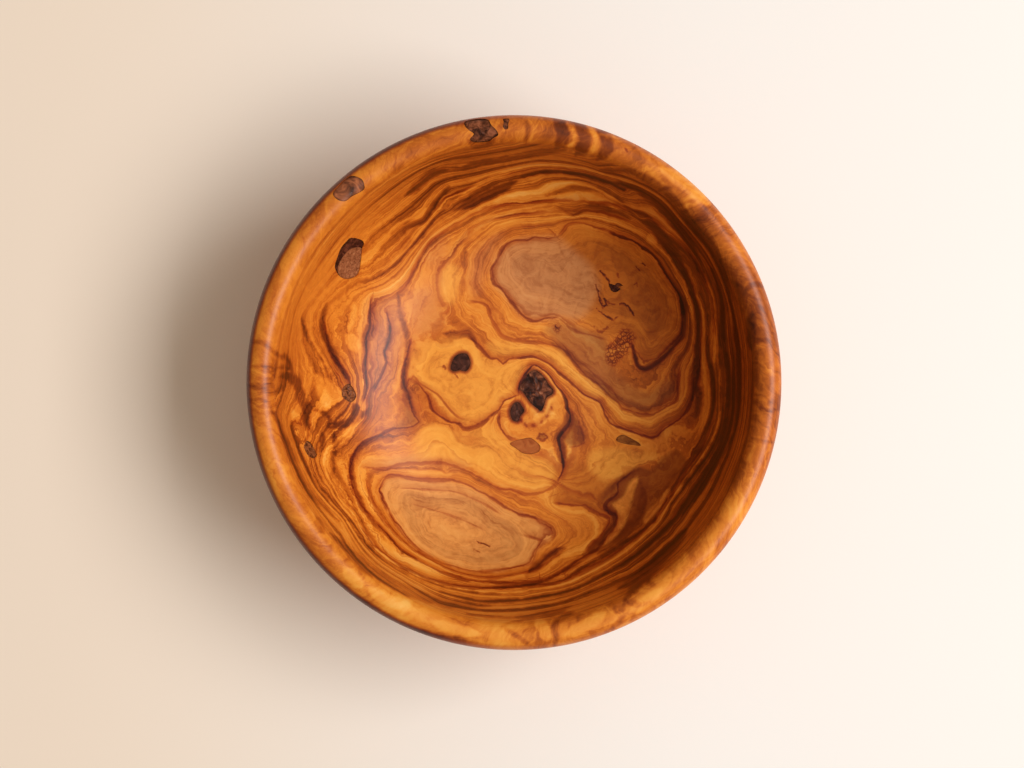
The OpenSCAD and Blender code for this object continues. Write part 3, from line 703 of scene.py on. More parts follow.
# Knots, bark and pith: seat on the turned surface in degrees and mm, outline in the photo
knotFit = {
    "gap": 0.15, "sink": 0.4, "clear": 1, "around": 96, "rings": 12, "smoothAngle": 50, "settleSteps": 8,
    "lumpScale": 0.55, "lumpNoise": (0.9, 2.0, 4), "lumpLow": -0.25, "lumpHigh": 0.6,
    "plainFrom": 0.97, "rise": 6,  # the lumps start a little way in from the edge
}
knots = {
    "wall_knot_bark": {
        "seat": "wall", "at": 143, "climb": 61, "depth": 8, "look": "crescent",
        "drawn": [(351, 238), (361, 240), (364, 244), (362, 249), (361, 260), (359, 272), (355, 277),
                  (348, 279), (341, 277), (337, 272), (335, 266), (338, 256), (341, 248), (346, 242)],
    },
    "wall_knot": {
        "seat": "wall", "at": 143, "climb": 61, "depth": 8, "look": "greyKnot",
        "drawn": [(350, 250), (356, 248), (362, 249), (361, 260), (359, 272), (355, 277), (348, 279),
                  (341, 277), (338, 270), (341, 261), (345, 255)],
    },
    "side_knot": {
        "seat": "wall", "at": 184, "climb": 36, "depth": 8, "look": "redKnot",
        "drawn": [(343, 388), (349, 384), (354, 390), (356, 397), (351, 402), (345, 399), (342, 395)],
    },
    "lower_knot": {
        "seat": "wall", "at": 198, "climb": 66, "depth": 8, "look": "redKnot",
        "drawn": [(304, 446), (307, 441), (311, 443), (315, 450), (317, 455), (313, 458), (308, 455),
                  (305, 450)],
    },
    "eye_knot": {
        "seat": "wall", "at": 44, "climb": 22, "depth": 8, "look": "crescent",
        "drawn": [(609, 284), (611, 290), (614, 292), (618, 291), (623, 286), (618, 287), (614, 285)],
    },
    "streak_knot": {
        "seat": "wall", "at": 333.5, "climb": 18.5, "depth": 8, "look": "streakKnot",
        "drawn": [(616, 440), (619, 436), (624, 435), (630, 438), (639, 443), (640, 446), (634, 445),
                  (622, 443)],
    },
    "floor_knot": {
        "seat": "floor", "at": 347, "out": 14, "depth": 8, "look": "crackled",
        "drawn": [(528, 374), (533, 371), (537, 371), (541, 374), (545, 379), (549, 385), (553, 390),
                  (552, 394), (547, 397), (545, 400), (544, 405), (541, 411), (537, 408), (532, 404),
                  (528, 399), (524, 393), (520, 389), (522, 383), (526, 378)],
    },
    "small_floor_knot": {
        "seat": "floor", "at": 276, "out": 17, "depth": 8, "look": "black",
        "drawn": [(515, 403), (519, 403), (522, 407), (524, 411), (520, 416), (518, 421), (513, 420),
                  (511, 415), (511, 409)],
    },
    "pith_plug": {
        "seat": "floor", "at": 160, "out": 35, "depth": 8, "look": "black",
        "drawn": [(451, 369), (452, 363), (455, 357), (460, 354), (466, 354), (469, 358), (470, 364),
                  (468, 369), (465, 371), (460, 370), (455, 371)],
    },
    "oval_knot": {
        "seat": "floor", "at": 280, "out": 39, "depth": 8, "look": "brownKnot",
        "drawn": [(510, 444), (515, 441), (523, 439), (530, 438), (535, 441), (540, 446), (539, 451),
                  (535, 453), (530, 454), (523, 453), (517, 449)],
    },
    "rim_bark": {
        "seat": "rim", "at": 98, "lean": -10, "depth": 6, "look": "bark",
        "drawn": [(465, 122), (472, 120), (481, 119), (488, 120), (491, 125), (496, 130), (498, 135),
                  (493, 138), (489, 141), (481, 142), (474, 142), (470, 139), (474, 134), (469, 130),
                  (465, 126)],
    },
    "rim_pin_knot": {
        "seat": "rim", "at": 92, "lean": 24, "depth": 6, "look": "bark",
        "drawn": [(503, 119), (509, 119), (508, 124), (508, 128), (505, 129), (503, 126), (504, 122)],
    },
    "rim_knot": {
        "seat": "rim", "at": 130, "lean": 8, "depth": 6, "look": "glossKnot",
        "drawn": [(333, 193), (339, 186), (346, 179), (352, 176), (361, 179), (364, 185), (363, 190),
                  (352, 196), (345, 201), (337, 199)],
    },
}
# Dark wood round some of the knots: how far it is measured, in mm
halo = {
    "knots": ("floor_knot", "small_floor_knot", "pith_plug"), "far": 40, "deep": 14, "wide": 45, "around": 48,
}


def seatOf(knot):
    # +Z out of the wood, in mm
    at = math.radians(knot["at"])
    if knot["seat"] == "floor":
        return Matrix.Translation((knot["out"] * math.cos(at), knot["out"] * math.sin(at), floorZ))
    around = Matrix.Rotation(at, 4, "Z")
    if knot["seat"] == "wall":
        up = Matrix.Rotation(-math.radians(knot["climb"]), 4, "Y")
        foot = Matrix.Translation((0, 0, -coveRadius))
        return around @ Matrix.Translation((floorRadius, 0, coveZ)) @ up @ foot
    up = Matrix.Rotation(math.radians(knot["lean"]), 4, "Y")
    return around @ Matrix.Translation((rimX, 0, rimZ)) @ up @ Matrix.Translation((0, 0, rimRadius))


def depthInWood(point, seat):
    r = math.hypot(point.x, point.y)
    if seat == "rim":
        return rimRadius - math.hypot(r - rimX, point.z - rimZ)
    if r <= floorRadius:
        return floorZ - point.z
    return math.hypot(r - floorRadius, point.z - coveZ) - coveRadius


def knotOutline(knot, grow=0.0, count=knotFit["around"]):
    # points round the knot in its seat's own plane, evenly spread by angle
    ring = smoothLine(knot["drawn"], drawing["knotStep"], closed=True)
    back = seatOf(knot).inverted()
    flat = np.array([(back @ Vector(p))[:2] for p in photoToBowl(ring[:, 0], ring[:, 1])])
    middle = (flat.min(axis=0) + flat.max(axis=0)) / 2
    angle = np.arctan2(*(flat - middle).T[::-1])
    reach = np.hypot(*(flat - middle).T)
    order = np.argsort(angle)
    turn = np.linspace(-math.pi, math.pi, count, endpoint=False)
    r = np.interp(turn, angle[order], reach[order], period=2 * math.pi) + grow
    return middle + np.stack([r * np.cos(turn), r * np.sin(turn)], axis=1)


def pocketCutter(knot):
    # a straight column of the knot's outline, standing through the surface
    clearSelection()
    bpy.ops.mesh.primitive_circle_add(vertices=knotFit["around"], radius=mm, fill_type="NGON")
    cutter = bpy.context.object
    outline = knotOutline(knot, knotFit["gap"])
    for vertex, (x, y) in zip(cutter.data.vertices, outline):
        vertex.co = (x * mm, y * mm, -(knot["depth"] + knotFit["gap"]) * mm)
    editAll()
    tall = (knot["depth"] + np.ptp(outline, axis=0).max() / 2) * mm
    bpy.ops.mesh.extrude_region_move(TRANSFORM_OT_translate={"value": (0, 0, tall)})
    faceOutwards()
    seat = seatOf(knot)
    seat.translation *= mm
    cutter.data.transform(seat)
    return cutter


def cutAway(piece, cutters):
    selectOnly(cutters)
    if len(cutters) > 1:
        bpy.ops.object.join()
    cutter = bpy.context.object
    selectOnly([piece])
    cut = piece.modifiers.new("cut", "BOOLEAN")
    cut.operation, cut.solver, cut.object = "DIFFERENCE", "EXACT", cutter
    bpy.ops.object.modifier_apply(modifier=cut.name)
    bpy.data.objects.remove(cutter, do_unlink=True)


# the wall knot and its bark share one pocket
cutAway(bowlPiece, [pocketCutter(knot) for name, knot in knots.items() if name != "wall_knot"])
bpy.ops.object.shade_smooth_by_angle(angle=math.radians(bowl["smoothAngle"]))
triangles = sum(len(face.vertices) - 2 for face in bowlPiece.data.polygons)
print("pockets cut:", len(bowlPiece.data.vertices), "points,", triangles, "triangles")


def knotGap(points):
    # mm from each point to the nearest knot with dark wood round it
    gap = np.full(len(points), float(halo["far"]))
    for knot in (knots[name] for name in halo["knots"]):
        back = np.array(seatOf(knot).inverted())
        flat = points @ back[:3, :3].T + back[:3, 3]
        outline = knotOutline(knot, 0, halo["around"])
        close = (np.abs(flat[:, 2]) < halo["deep"]) & (np.hypot(flat[:, 0], flat[:, 1]) < halo["wide"])
        reach = np.min(np.linalg.norm(flat[close, None, :2] - outline[None], axis=2), axis=1)
        gap[close] = np.minimum(gap[close], reach)
    return gap


def paintFigure(piece):
    points = meshPoints(piece.data)
    spots = bowlToPhoto(points)
    r = np.hypot(points[:, 0], points[:, 1])
    arcReach = np.hypot(np.maximum(r - floorRadius, 0), points[:, 2] - coveZ)
    seen = (points[:, 2] > rimZ) | ((r < rimX) & (arcReach < coveRadius + bowl["wall"] / 2))
    near = spots[seen]

    def paint(name, values, unseen):
        everywhere = np.full(len(points), float(unseen))
        everywhere[seen] = values
        addAttribute(piece.data, name, everywhere)

    addAttribute(piece.data, "layer", layerAt(points))
    # neighbouring growth lines are painted apart, so that each keeps its own two sides
    lines = {"even": [line[1:] for line in growthLines.values() if int(line[0]) % 2 == 0],
             "odd": [line[1:] for line in growthLines.values() if int(line[0]) % 2 == 1],
             "side": list(sideLines.values())}
    for name, group in lines.items():
        away, ink = nearestLine(near, group)
        paint(name + "Line", away, drawing["far"])
        paint(name + "Ink", ink, 0)
    for name, bands in {"darkBand": darkBands, "lightBand": lightBands}.items():
        paint(name, bandDepth(near, bands), -drawing["far"])
    for kind, outlines in tonePatches.items():
        paint(kind + "Tone", signedPatch(near, outlines), -drawing["far"])
    # spots of wood tone, painted shade and painted highlight, and places where the figure is plain
    for name, group in {"toneAndPaintedLightSpot": toneAndPaintedLightSpots, "calmSpot": calmSpots}.items():
        paint(name, sum(amount * np.exp(-np.sum((near - spot) ** 2, axis=1) / reach ** 2)
                        for amount, reach, spot in group.values()), 0)
    addAttribute(piece.data, "knotNear", knotGap(points))


paintFigure(bowlPiece)
print("figure painted")

# Materials: the node tree being built
nodeWork = {"tree": None}


def addNode(kind, inputs=(), **settings):
    tree = nodeWork["tree"]
    made = tree.nodes.new(kind)
    for name, value in settings.items():
        setattr(made, name, value)
    for key, value in dict(inputs).items():
        if isinstance(value, bpy.types.NodeSocket):
            tree.links.new(value, made.inputs[key])
        else:
            made.inputs[key].default_value = value
    return made


def calc(operation, first, second=0.0, third=0.0):
    return addNode("ShaderNodeMath", {0: first, 1: second, 2: third}, operation=operation).outputs[0]


def times(first, second):
    return calc("MULTIPLY", first, second)


def plus(first, second):
    return calc("ADD", first, second)


def minus(first, second):
    return calc("SUBTRACT", first, second)


def scaled(value, amount, base):
    return calc("MULTIPLY_ADD", value, amount, base)


def about(value, amount, base=0.0):
    # a noise value as so much either side of a base
    return scaled(minus(value, 0.5), amount, base)


def vectorCalc(operation, first, second, output="Vector", key=1):
    return addNode("ShaderNodeVectorMath", {0: first, key: second}, operation=operation).outputs[output]


def blend(share, first, second, kind="MIX"):
    made = addNode("ShaderNodeMix", {0: share, 6: first, 7: second}, data_type="RGBA", blend_type=kind)
    return made.outputs[2]


def fade(value, low, high, start=0.0, end=1.0):
    made = addNode("ShaderNodeMapRange", {0: value, 1: low, 2: high, 3: start, 4: end},
                   interpolation_type="SMOOTHSTEP")
    return made.outputs[0]


def objectPlace():
    return addNode("ShaderNodeTexCoord").outputs["Object"]


def splitPlace(where):
    return addNode("ShaderNodeSeparateXYZ", {0: where}).outputs


def placeAt(x, y, z=0.0):
    return addNode("ShaderNodeCombineXYZ", {0: x, 1: y, 2: z}).outputs[0]


def grain(where, scale, detail=2.0, rough=0.5, swirl=0.0):
    made = addNode("ShaderNodeTexNoise", {"Vector": where, "Scale": scale, "Detail": detail,
                                          "Roughness": rough, "Distortion": swirl})
    return made.outputs[0]


def layerNoise(layer, scale, detail):
    made = addNode("ShaderNodeTexNoise", {"W": layer, "Scale": scale, "Detail": detail},
                   noise_dimensions="1D")
    return made.outputs[0]


def colourRamp(value, stops):
    made = addNode("ShaderNodeValToRGB", {0: value})
    bar = made.color_ramp.elements
    while len(bar) < len(stops):
        bar.new(0.5)
    for element, (at, colour) in zip(bar, stops):
        element.position, element.color = at, (*colour, 1)
    return made.outputs[0]


def painted(name):
    return addNode("ShaderNodeAttribute", attribute_name=name).outputs["Fac"]


def bumps(strength, distance, height):
    made = addNode("ShaderNodeBump", {"Strength": strength, "Distance": distance, "Height": height})
    return made.outputs[0]


def newMaterial(name):
    made = bpy.data.materials.new(name)
    made.use_nodes = True
    made.node_tree.nodes.clear()
    nodeWork["tree"] = made.node_tree
    return made


def surface(inputs):
    shader = addNode("ShaderNodeBsdfPrincipled", inputs)
    addNode("ShaderNodeOutputMaterial", {0: shader.outputs[0]})


# Olive wood. Distances in metres, edges of drawn things in photo pixels, tones as shares of the ramp
woodTones = {
    "ramp": [(0.20, (0.070, 0.010, 0.001)), (0.36, (0.24, 0.042, 0.003)), (0.48, (0.52, 0.125, 0.010)),
             (0.58, (0.74, 0.235, 0.022)), (0.70, (0.85, 0.345, 0.046)), (0.86, (0.90, 0.46, 0.10))],
    "patch": [(0.10, (0.22, 0.10, 0.06)), (0.32, (0.66, 0.48, 0.38)), (0.50, (1, 1, 1)),
              (0.75, (1.12, 1.3, 1.55))],
    "stainAndShade": [(0.0, (1, 1, 1)), (0.35, (0.72, 0.50, 0.42)), (0.70, (0.40, 0.21, 0.17)),
              (1.0, (0.13, 0.07, 0.08))],
    "grey": (0.58, 0.24, 0.078), "tan": (0.74, 0.32, 0.080), "yellow": (0.87, 0.375, 0.050),
    "brown": (0.25, 0.050, 0.006), "roseAndSheen": (0.60, 0.20, 0.050), "amber": (0.55, 0.155, 0.012),
    "fish": (0.88, 0.34, 0.045), "dusk": (0.31, 0.088, 0.022),
}
# How strongly each patch covers the figure, and how soft its edge is in pixels
patchEdges = {
    "roseAndSheen": (0.5, 8), "dusk": (0.62, 6), "amber": (0.75, 5), "grey": (0.85, 7), "tan": (0.8, 4),
    "brown": (0.68, 3), "yellow": (0.65, 5), "fish": (0.9, 2),
}
layerLook = {
    # noise that bends the layers: scale, detail, roughness, and how many layers
    "crinkle": (420, 2, 0.6, 0.10), "quick": (130, 2, 0.5, 0.34), "slow": (26, 2, 0.5, 0.8),
    "torn": (190, 3, 0.65, 0.9), "tornLeft": (-0.055, -0.095), "tornUp": (0.022, 0.045),
    # noise drawn out along the layers: how close across and along them, detail
    "streaks": {"streak": (4, 18, 3), "fibre": (13, 34, 2), "thread": (40, 90, 1)}, "streakRough": 0.6,
    # noise by layer number: shift, scale, detail
    "rings": {"ring": (0, 4.5, 2), "zone": (0, 0.45, 1), "bar": (31.7, 1.1, 1)},
    # how much tone each of these gives
    "fine": {"fibre": 0.30, "ring": 0.16, "streak": 0.46, "thread": 0.12},
    "broad": {"zone": 0.40, "bar": 0.44},
}


def woodLayers():
    where = objectPlace()
    x, y, z = splitPlace(where)
    wood = {"where": where, "x": x, "y": y, "z": z}
    wave = 0.0
    for name in ("crinkle", "quick", "slow"):
        *kind, bend = layerLook[name]
        wood[name] = grain(where, *kind)
        wave = about(wood[name], bend, wave)
    *kind, bend = layerLook["torn"]
    torn = times(fade(x, *layerLook["tornLeft"]), fade(z, *layerLook["tornUp"]))
    wave = about(grain(where, *kind), times(torn, bend), wave)
    layer = wood["layer"] = plus(painted("layer"), wave)
    for name, (across, along, detail) in layerLook["streaks"].items():
        place = placeAt(times(layer, across), times(x, along), times(y, along))
        wood[name] = grain(place, 1.0, detail, layerLook["streakRough"])
    for name, (shift, scale, detail) in layerLook["rings"].items():
        wood[name] = layerNoise(plus(layer, shift), scale, detail)
    for part in ("fine", "broad"):
        wood[part] = 0.0
        for name, amount in layerLook[part].items():
            wood[part] = about(wood[name], amount, wood[part])
    return wood


rimLook = {
    "lip": (0.141, 0.145), "lipLift": 0.010, "height": (0.1005, 0.1065),
    # streaks across the rim: how they sway and lean, then scale, detail, roughness and tone
    "sway": (11, 1), "swayAmount": 0.9, "lean": 4.0, "shake": 0.10, "closeness": 2.5,
    "thin": (40, 2, 0.6, 0.27), "wide": (6, 2, 0.5, 0.36), "broadLeft": 0.2, "frayLeft": 0.95,
    # shares that other things lose on the rim
    "fine": 0.7, "ragged": 0.5, "dark": 0.5, "rings": 0.85,
}


def lessOnRim(wood, value, name):
    return times(value, scaled(wood["onRim"], -rimLook[name], 1.0))


def rimFigure(wood):
    # the rim cuts across the layers: streaks over it instead of along it
    x, y = wood["x"], wood["y"]
    reach = wood["reach"] = calc("SQRT", scaled(x, x, times(y, y)))
    lip = scaled(fade(reach, *rimLook["lip"]), rimLook["lipLift"], wood["z"])
    onRim = wood["onRim"] = fade(lip, *rimLook["height"])
    slant = times(reach, rimLook["lean"])
    slant = about(grain(wood["where"], *rimLook["sway"]), rimLook["swayAmount"], slant)
    slant = plus(calc("ARCTAN2", y, x), about(wood["quick"], rimLook["shake"], slant))
    place = placeAt(slant, times(reach, rimLook["closeness"]))
    crossing = 0.0
    for name in ("thin", "wide"):
        *kind, amount = rimLook[name]
        crossing = about(grain(place, *kind), amount, crossing)
    broad = wood["broad"]
    wood["broad"] = blend(onRim, broad, scaled(broad, rimLook["broadLeft"], crossing))
    wood["fine"] = lessOnRim(wood, wood["fine"], "fine")


bandLook = {
    "quick": 4.5, "crinkle": 2.0, "frayFibre": 0.6, "fray": (0.36, 0.62, 0.35, 1),
    "darkEdge": (-2.2, 2.0), "darkTone": -0.25, "lightEdge": (-2.2, 2.2), "lightTone": 0.13,
    "wallTone": (0.03, 0.07, 0, -0.025), "veins": (95, 3, 0.6, 1.6), "veinTone": 0.16, "middle": 0.55,
}


def bandFigure(wood):
    # the drawn bands, frayed by the streaks, with the spots of wood tone, painted shade and painted
    # highlight, and the wall a little darker higher up
    ragged = about(wood["quick"], bandLook["quick"], about(wood["crinkle"], bandLook["crinkle"]))
    ragged = wood["ragged"] = lessOnRim(wood, ragged, "ragged")
    fray = fade(about(wood["fibre"], bandLook["frayFibre"], wood["streak"]), *bandLook["fray"])
    fray = calc("MAXIMUM", fray, times(wood["onRim"], rimLook["frayLeft"]))
    dark = times(fade(plus(ragged, painted("darkBand")), *bandLook["darkEdge"]), fray)
    light = fade(plus(ragged, painted("lightBand")), *bandLook["lightEdge"])
    drawn = scaled(light, bandLook["lightTone"], painted("toneAndPaintedLightSpot"))
    drawn = scaled(lessOnRim(wood, dark, "dark"), bandLook["darkTone"], drawn)
    wood["drawn"] = plus(drawn, fade(wood["z"], *bandLook["wallTone"]))
    wood["lively"] = minus(1.0, painted("calmSpot"))
    wood["veins"] = grain(wood["where"], *bandLook["veins"])


def baseColour(wood):
    tone = about(wood["veins"], bandLook["veinTone"], wood["drawn"])
    tone = scaled(plus(wood["broad"], wood["fine"]), wood["lively"], tone)
    return colourRamp(plus(tone, bandLook["middle"]), woodTones["ramp"])


patchLook = {"broad": 0.25, "share": 0.7, "middle": 0.5, "veinTone": 0.42}


def patchColours(wood, colour):
    # patches keep the streaks and bands
    tone = scaled(wood["broad"], patchLook["broad"], plus(wood["fine"], wood["drawn"]))
    tone = scaled(tone, patchLook["share"], patchLook["middle"])
    light = colourRamp(about(wood["veins"], patchLook["veinTone"], tone), woodTones["patch"])
    for kind, (strength, soft) in patchEdges.items():
        edge = plus(painted(kind + "Tone"), wood["ragged"])
        base = blend(1.0, (*woodTones[kind], 1), light, "MULTIPLY")
        colour = blend(fade(edge, -soft, soft, 0, strength), colour, base)
    return colour


# darkens through the ramp: for the wood's own lines and marks, and for the painted shade on the rim's outer
# left side
def stainAndShade(colour, share):
    return blend(1.0, colour, colourRamp(share, woodTones["stainAndShade"]), "MULTIPLY")


ringLook = {
    "spots": (34, 1), "spotFade": (0.40, 0.60, 0.25, 1), "wallFade": (0.0185, 0.030, 0.55, 1),
    "paces": {1.0: 0.75, 2.37: 0.4},  # lines to a layer, and how dark they get
    "sharp": (0.0, 0.06, 1, 0), "soft": (-0.34, 0.0), "chance": (0.2, 0.9, 0.1),
    "streak": (0.38, 0.58, 0.2, 1),
}


def ringLines(wood, colour):
    # growth lines: dark on one side, fading out on the other, no two alike
    showing = lessOnRim(wood, wood["lively"], "rings")
    showing = times(showing, fade(grain(wood["where"], *ringLook["spots"]), *ringLook["spotFade"]))
    showing = times(showing, fade(wood["z"], *ringLook["wallFade"]))
    for pace, darkest in ringLook["paces"].items():
        paced = times(wood["layer"], pace)
        whole = calc("ROUND", paced)
        off = minus(paced, whole)
        chance = addNode("ShaderNodeTexWhiteNoise", {"W": whole}, noise_dimensions="1D").outputs[0]
        line = times(fade(off, *ringLook["sharp"]), fade(off, *ringLook["soft"]))
        line = times(line, fade(chance, *ringLook["chance"], darkest))
        line = times(line, fade(wood["streak"], *ringLook["streak"]))
        colour = stainAndShade(colour, times(line, showing))
    return colour


lineLook = {
    # thinnest, thickest, and how much the edges shake
    "kinds": {"even": (0.7, 2.1, 0.7), "odd": (0.7, 2.1, 0.7), "side": (0.5, 1.4, 0.25)},
    "widths": (60, 2), "widthFade": (0.38, 0.62), "ink": (0.34, 0.58, 0.7, 1.1),
    "sideStart": (-1.0, 0.5), "sideEnd": (1.0, 8.0, 0.4, 0), "core": (-0.8, 0.8, 0.9, 0),
}


def drawnLines(wood, colour):
    # a brown core of uneven width and a soft side
    for name, (thin, thick, shake) in lineLook["kinds"].items():
        width = fade(grain(wood["where"], *lineLook["widths"]), *lineLook["widthFade"], thin, thick)
        line = scaled(wood["ragged"], shake, painted(name + "Line"))
        ink = times(painted(name + "Ink"), fade(wood["streak"], *lineLook["ink"]))
        side = times(fade(line, *lineLook["sideStart"]), fade(line, *lineLook["sideEnd"]))
        colour = stainAndShade(colour, times(side, ink))
        past = minus(calc("ABSOLUTE", line), width)
        colour = stainAndShade(colour, times(fade(past, *lineLook["core"]), ink))
    return colour


markLook = {
    # darkness and reach of each kind of stroke
    "kinds": ((blackMarks, 0.95, 0.0011), (brownMarks, 0.6, 0.0011), (kernelArc, 0.34, 0.0030),
              (kernels, 0.5, 0.0016)),
    "core": 0.0001, "ragged": 0.0012, "shakeScale": 260, "shakeDetail": 2, "shake": 0.0035,
    "cells": 470, "cellShake": 0.25, "cellEdge": (0.0, 0.24, 0.85, 0.2), "scarEdge": (-3.0, 3.0),
    "haloShake": 1.5, "halo": (0.2, 3.0, 0.9, 0),
}


def markReach(where, marks):
    # metres to the nearest of some short strokes
    near = 1.0
    for points in marks:
        path = photoToBowl(*np.array(points, float).T) * mm
        for a, b in zip(path[:-1], path[1:]):
            along = b - a
            rel = vectorCalc("SUBTRACT", where, tuple(a))
            share = vectorCalc("DOT_PRODUCT", rel, tuple(along / (along @ along)), "Value")
            share = addNode("ShaderNodeClamp", {0: share}).outputs[0]
            foot = vectorCalc("SCALE", tuple(along), share, "Vector", "Scale")
            near = calc("MINIMUM", vectorCalc("DISTANCE", rel, foot, "Value"), near)
    return near


def smallMarks(wood, colour):
    # small crisp strokes, scars of small cells with dark edges, and dark wood round some of the knots
    where = wood["where"]
    shaken = addNode("ShaderNodeTexNoise", {"Vector": where, "Scale": markLook["shakeScale"],
                                            "Detail": markLook["shakeDetail"]}).outputs["Color"]
    shaken = vectorCalc("ADD", shaken, [-0.5] * 3)
    shaken = addNode("ShaderNodeVectorMath", {0: shaken, 1: [markLook["shake"]] * 3, 2: where},
                     operation="MULTIPLY_ADD").outputs[0]
    for marks, darkness, reach in markLook["kinds"]:
        away = about(wood["quick"], markLook["ragged"], markReach(shaken, marks.values()))
        colour = stainAndShade(colour, fade(away, markLook["core"], reach, darkness, 0))
    cells = addNode("ShaderNodeTexVoronoi", {"Vector": shaken, "Scale": markLook["cells"]},
                    feature="DISTANCE_TO_EDGE").outputs[0]
    cracks = fade(about(wood["crinkle"], markLook["cellShake"], cells), *markLook["cellEdge"])
    scar = fade(plus(painted("scarTone"), wood["ragged"]), *markLook["scarEdge"])
    colour = stainAndShade(colour, times(scar, cracks))
    ring = about(wood["quick"], markLook["haloShake"], painted("knotNear"))
    return stainAndShade(colour, fade(ring, *markLook["halo"]))


# Painted shade on the rim's outer side at the left: where it lies, and how dark it is
outerShadeLook = {"reach": (0.1456, 0.1482), "left": (0.03, -0.06), "stainAndShade": 0.85}


def outerLeftShade(wood, colour):
    # painted shade: the outer side of the rim is darkened on the left, the side away from the lamp
    outer = times(fade(wood["reach"], *outerShadeLook["reach"]), fade(wood["x"], *outerShadeLook["left"]))
    return stainAndShade(colour, times(outer, outerShadeLook["stainAndShade"]))


oilLook = {
    "rough": 0.30, "rimRough": 0.31, "fibreRough": 0.12, "shine": 0.34, "relief": 0.06, "reliefDepth": 0.0006,
}


def oliveWood():
    made = newMaterial("oliveWood")
    wood = woodLayers()
    rimFigure(wood)
    bandFigure(wood)
    colour = baseColour(wood)
    for addFigure in (patchColours, ringLines, drawnLines, smallMarks, outerLeftShade):
        colour = addFigure(wood, colour)
    rough = fade(wood["onRim"], 0, 1, oilLook["rough"], oilLook["rimRough"])
    surface({"Base Color": colour, "Roughness": scaled(wood["fibre"], oilLook["fibreRough"], rough),
             "Normal": bumps(oilLook["relief"], oilLook["reliefDepth"], wood["fibre"]),
             "Specular IOR Level": oilLook["shine"]})
    return made


# Dead wood: slot, size of the lumps, gloss and relief, tones from hollow to ridge
knotLooks = {
    "bark": {
        "slot": "dark_bark", "scale": 260, "rough": 0.4, "shine": 0.12, "relief": 0.35, "lumps": 0.25,
        "tones": [(0.36, (0.035, 0.009, 0.004)), (0.5, (0.14, 0.04, 0.016)), (0.68, (0.32, 0.1, 0.045))],
    },
    "crescent": {
        "slot": "dark_bark", "scale": 300, "rough": 0.36, "shine": 0.12, "relief": 0.3, "lumps": 0.2,
        "tones": [(0.36, (0.018, 0.004, 0.003)), (0.52, (0.055, 0.013, 0.008)),
                  (0.7, (0.15, 0.042, 0.022))],
    },
    "black": {
        "slot": "dark_bark", "scale": 220, "rough": 0.3, "shine": 0.15, "relief": 0.15, "lumps": 0.12,
        "tones": [(0.38, (0.032, 0.011, 0.008)), (0.55, (0.07, 0.023, 0.015)),
                  (0.72, (0.17, 0.062, 0.042))],
    },
    "crackled": {
        "slot": "dark_bark", "scale": 200, "rough": 0.34, "shine": 0.12, "relief": 0.3, "lumps": 0.3,
        "tones": [(0.4, (0.022, 0.008, 0.006)), (0.5, (0.06, 0.019, 0.012)), (0.6, (0.17, 0.053, 0.026)),
                  (0.74, (0.42, 0.16, 0.075))],
    },
    "greyKnot": {
        "slot": "knot_wood", "scale": 620, "rough": 0.42, "shine": 0.1, "relief": 0.3, "lumps": 0.2,
        "tones": [(0.32, (0.16, 0.048, 0.018)), (0.5, (0.28, 0.092, 0.036)), (0.7, (0.42, 0.165, 0.07))],
    },
    "redKnot": {
        "slot": "knot_wood", "scale": 480, "rough": 0.38, "shine": 0.1, "relief": 0.35, "lumps": 0.25,
        "tones": [(0.36, (0.06, 0.016, 0.006)), (0.5, (0.2, 0.058, 0.018)), (0.68, (0.33, 0.115, 0.042))],
    },
    "brownKnot": {
        "slot": "knot_wood", "scale": 160, "rough": 0.36, "shine": 0.15, "relief": 0.1, "lumps": 0.04,
        "tones": [(0.3, (0.24, 0.05, 0.01)), (0.48, (0.38, 0.097, 0.022)), (0.68, (0.45, 0.135, 0.034))],
    },
    "streakKnot": {
        "slot": "knot_wood", "scale": 240, "rough": 0.36, "shine": 0.15, "relief": 0.2, "lumps": 0.05,
        "tones": [(0.34, (0.15, 0.04, 0.008)), (0.5, (0.26, 0.08, 0.015)), (0.68, (0.36, 0.125, 0.025))],
    },
    "glossKnot": {
        "slot": "knot_wood", "scale": 130, "rough": 0.28, "shine": 0.35, "relief": 0.05, "lumps": 0.05,
        "tones": [(0.38, (0.055, 0.016, 0.007)), (0.5, (0.24, 0.07, 0.028)), (0.64, (0.46, 0.145, 0.055))],
    },
}
deadLook = {"detail": 3, "rough": 0.55, "swirl": 0.8, "edge": (0.0, 0.14, 0.4, 0), "reliefDepth": 0.001}


def deadWood(name, look):
    made = newMaterial(name)
    lumps = grain(objectPlace(), look["scale"], deadLook["detail"], deadLook["rough"], deadLook["swirl"])
    darkest = (*look["tones"][0][1], 1)
    colour = blend(fade(painted("toEdge"), *deadLook["edge"]), colourRamp(lumps, look["tones"]), darkest)
    surface({"Base Color": colour, "Roughness": look["rough"],
             "Normal": bumps(look["relief"], deadLook["reliefDepth"], lumps),
             "Specular IOR Level": look["shine"]})
    return made


finishes = {name: deadWood(name, look) for name, look in knotLooks.items()}


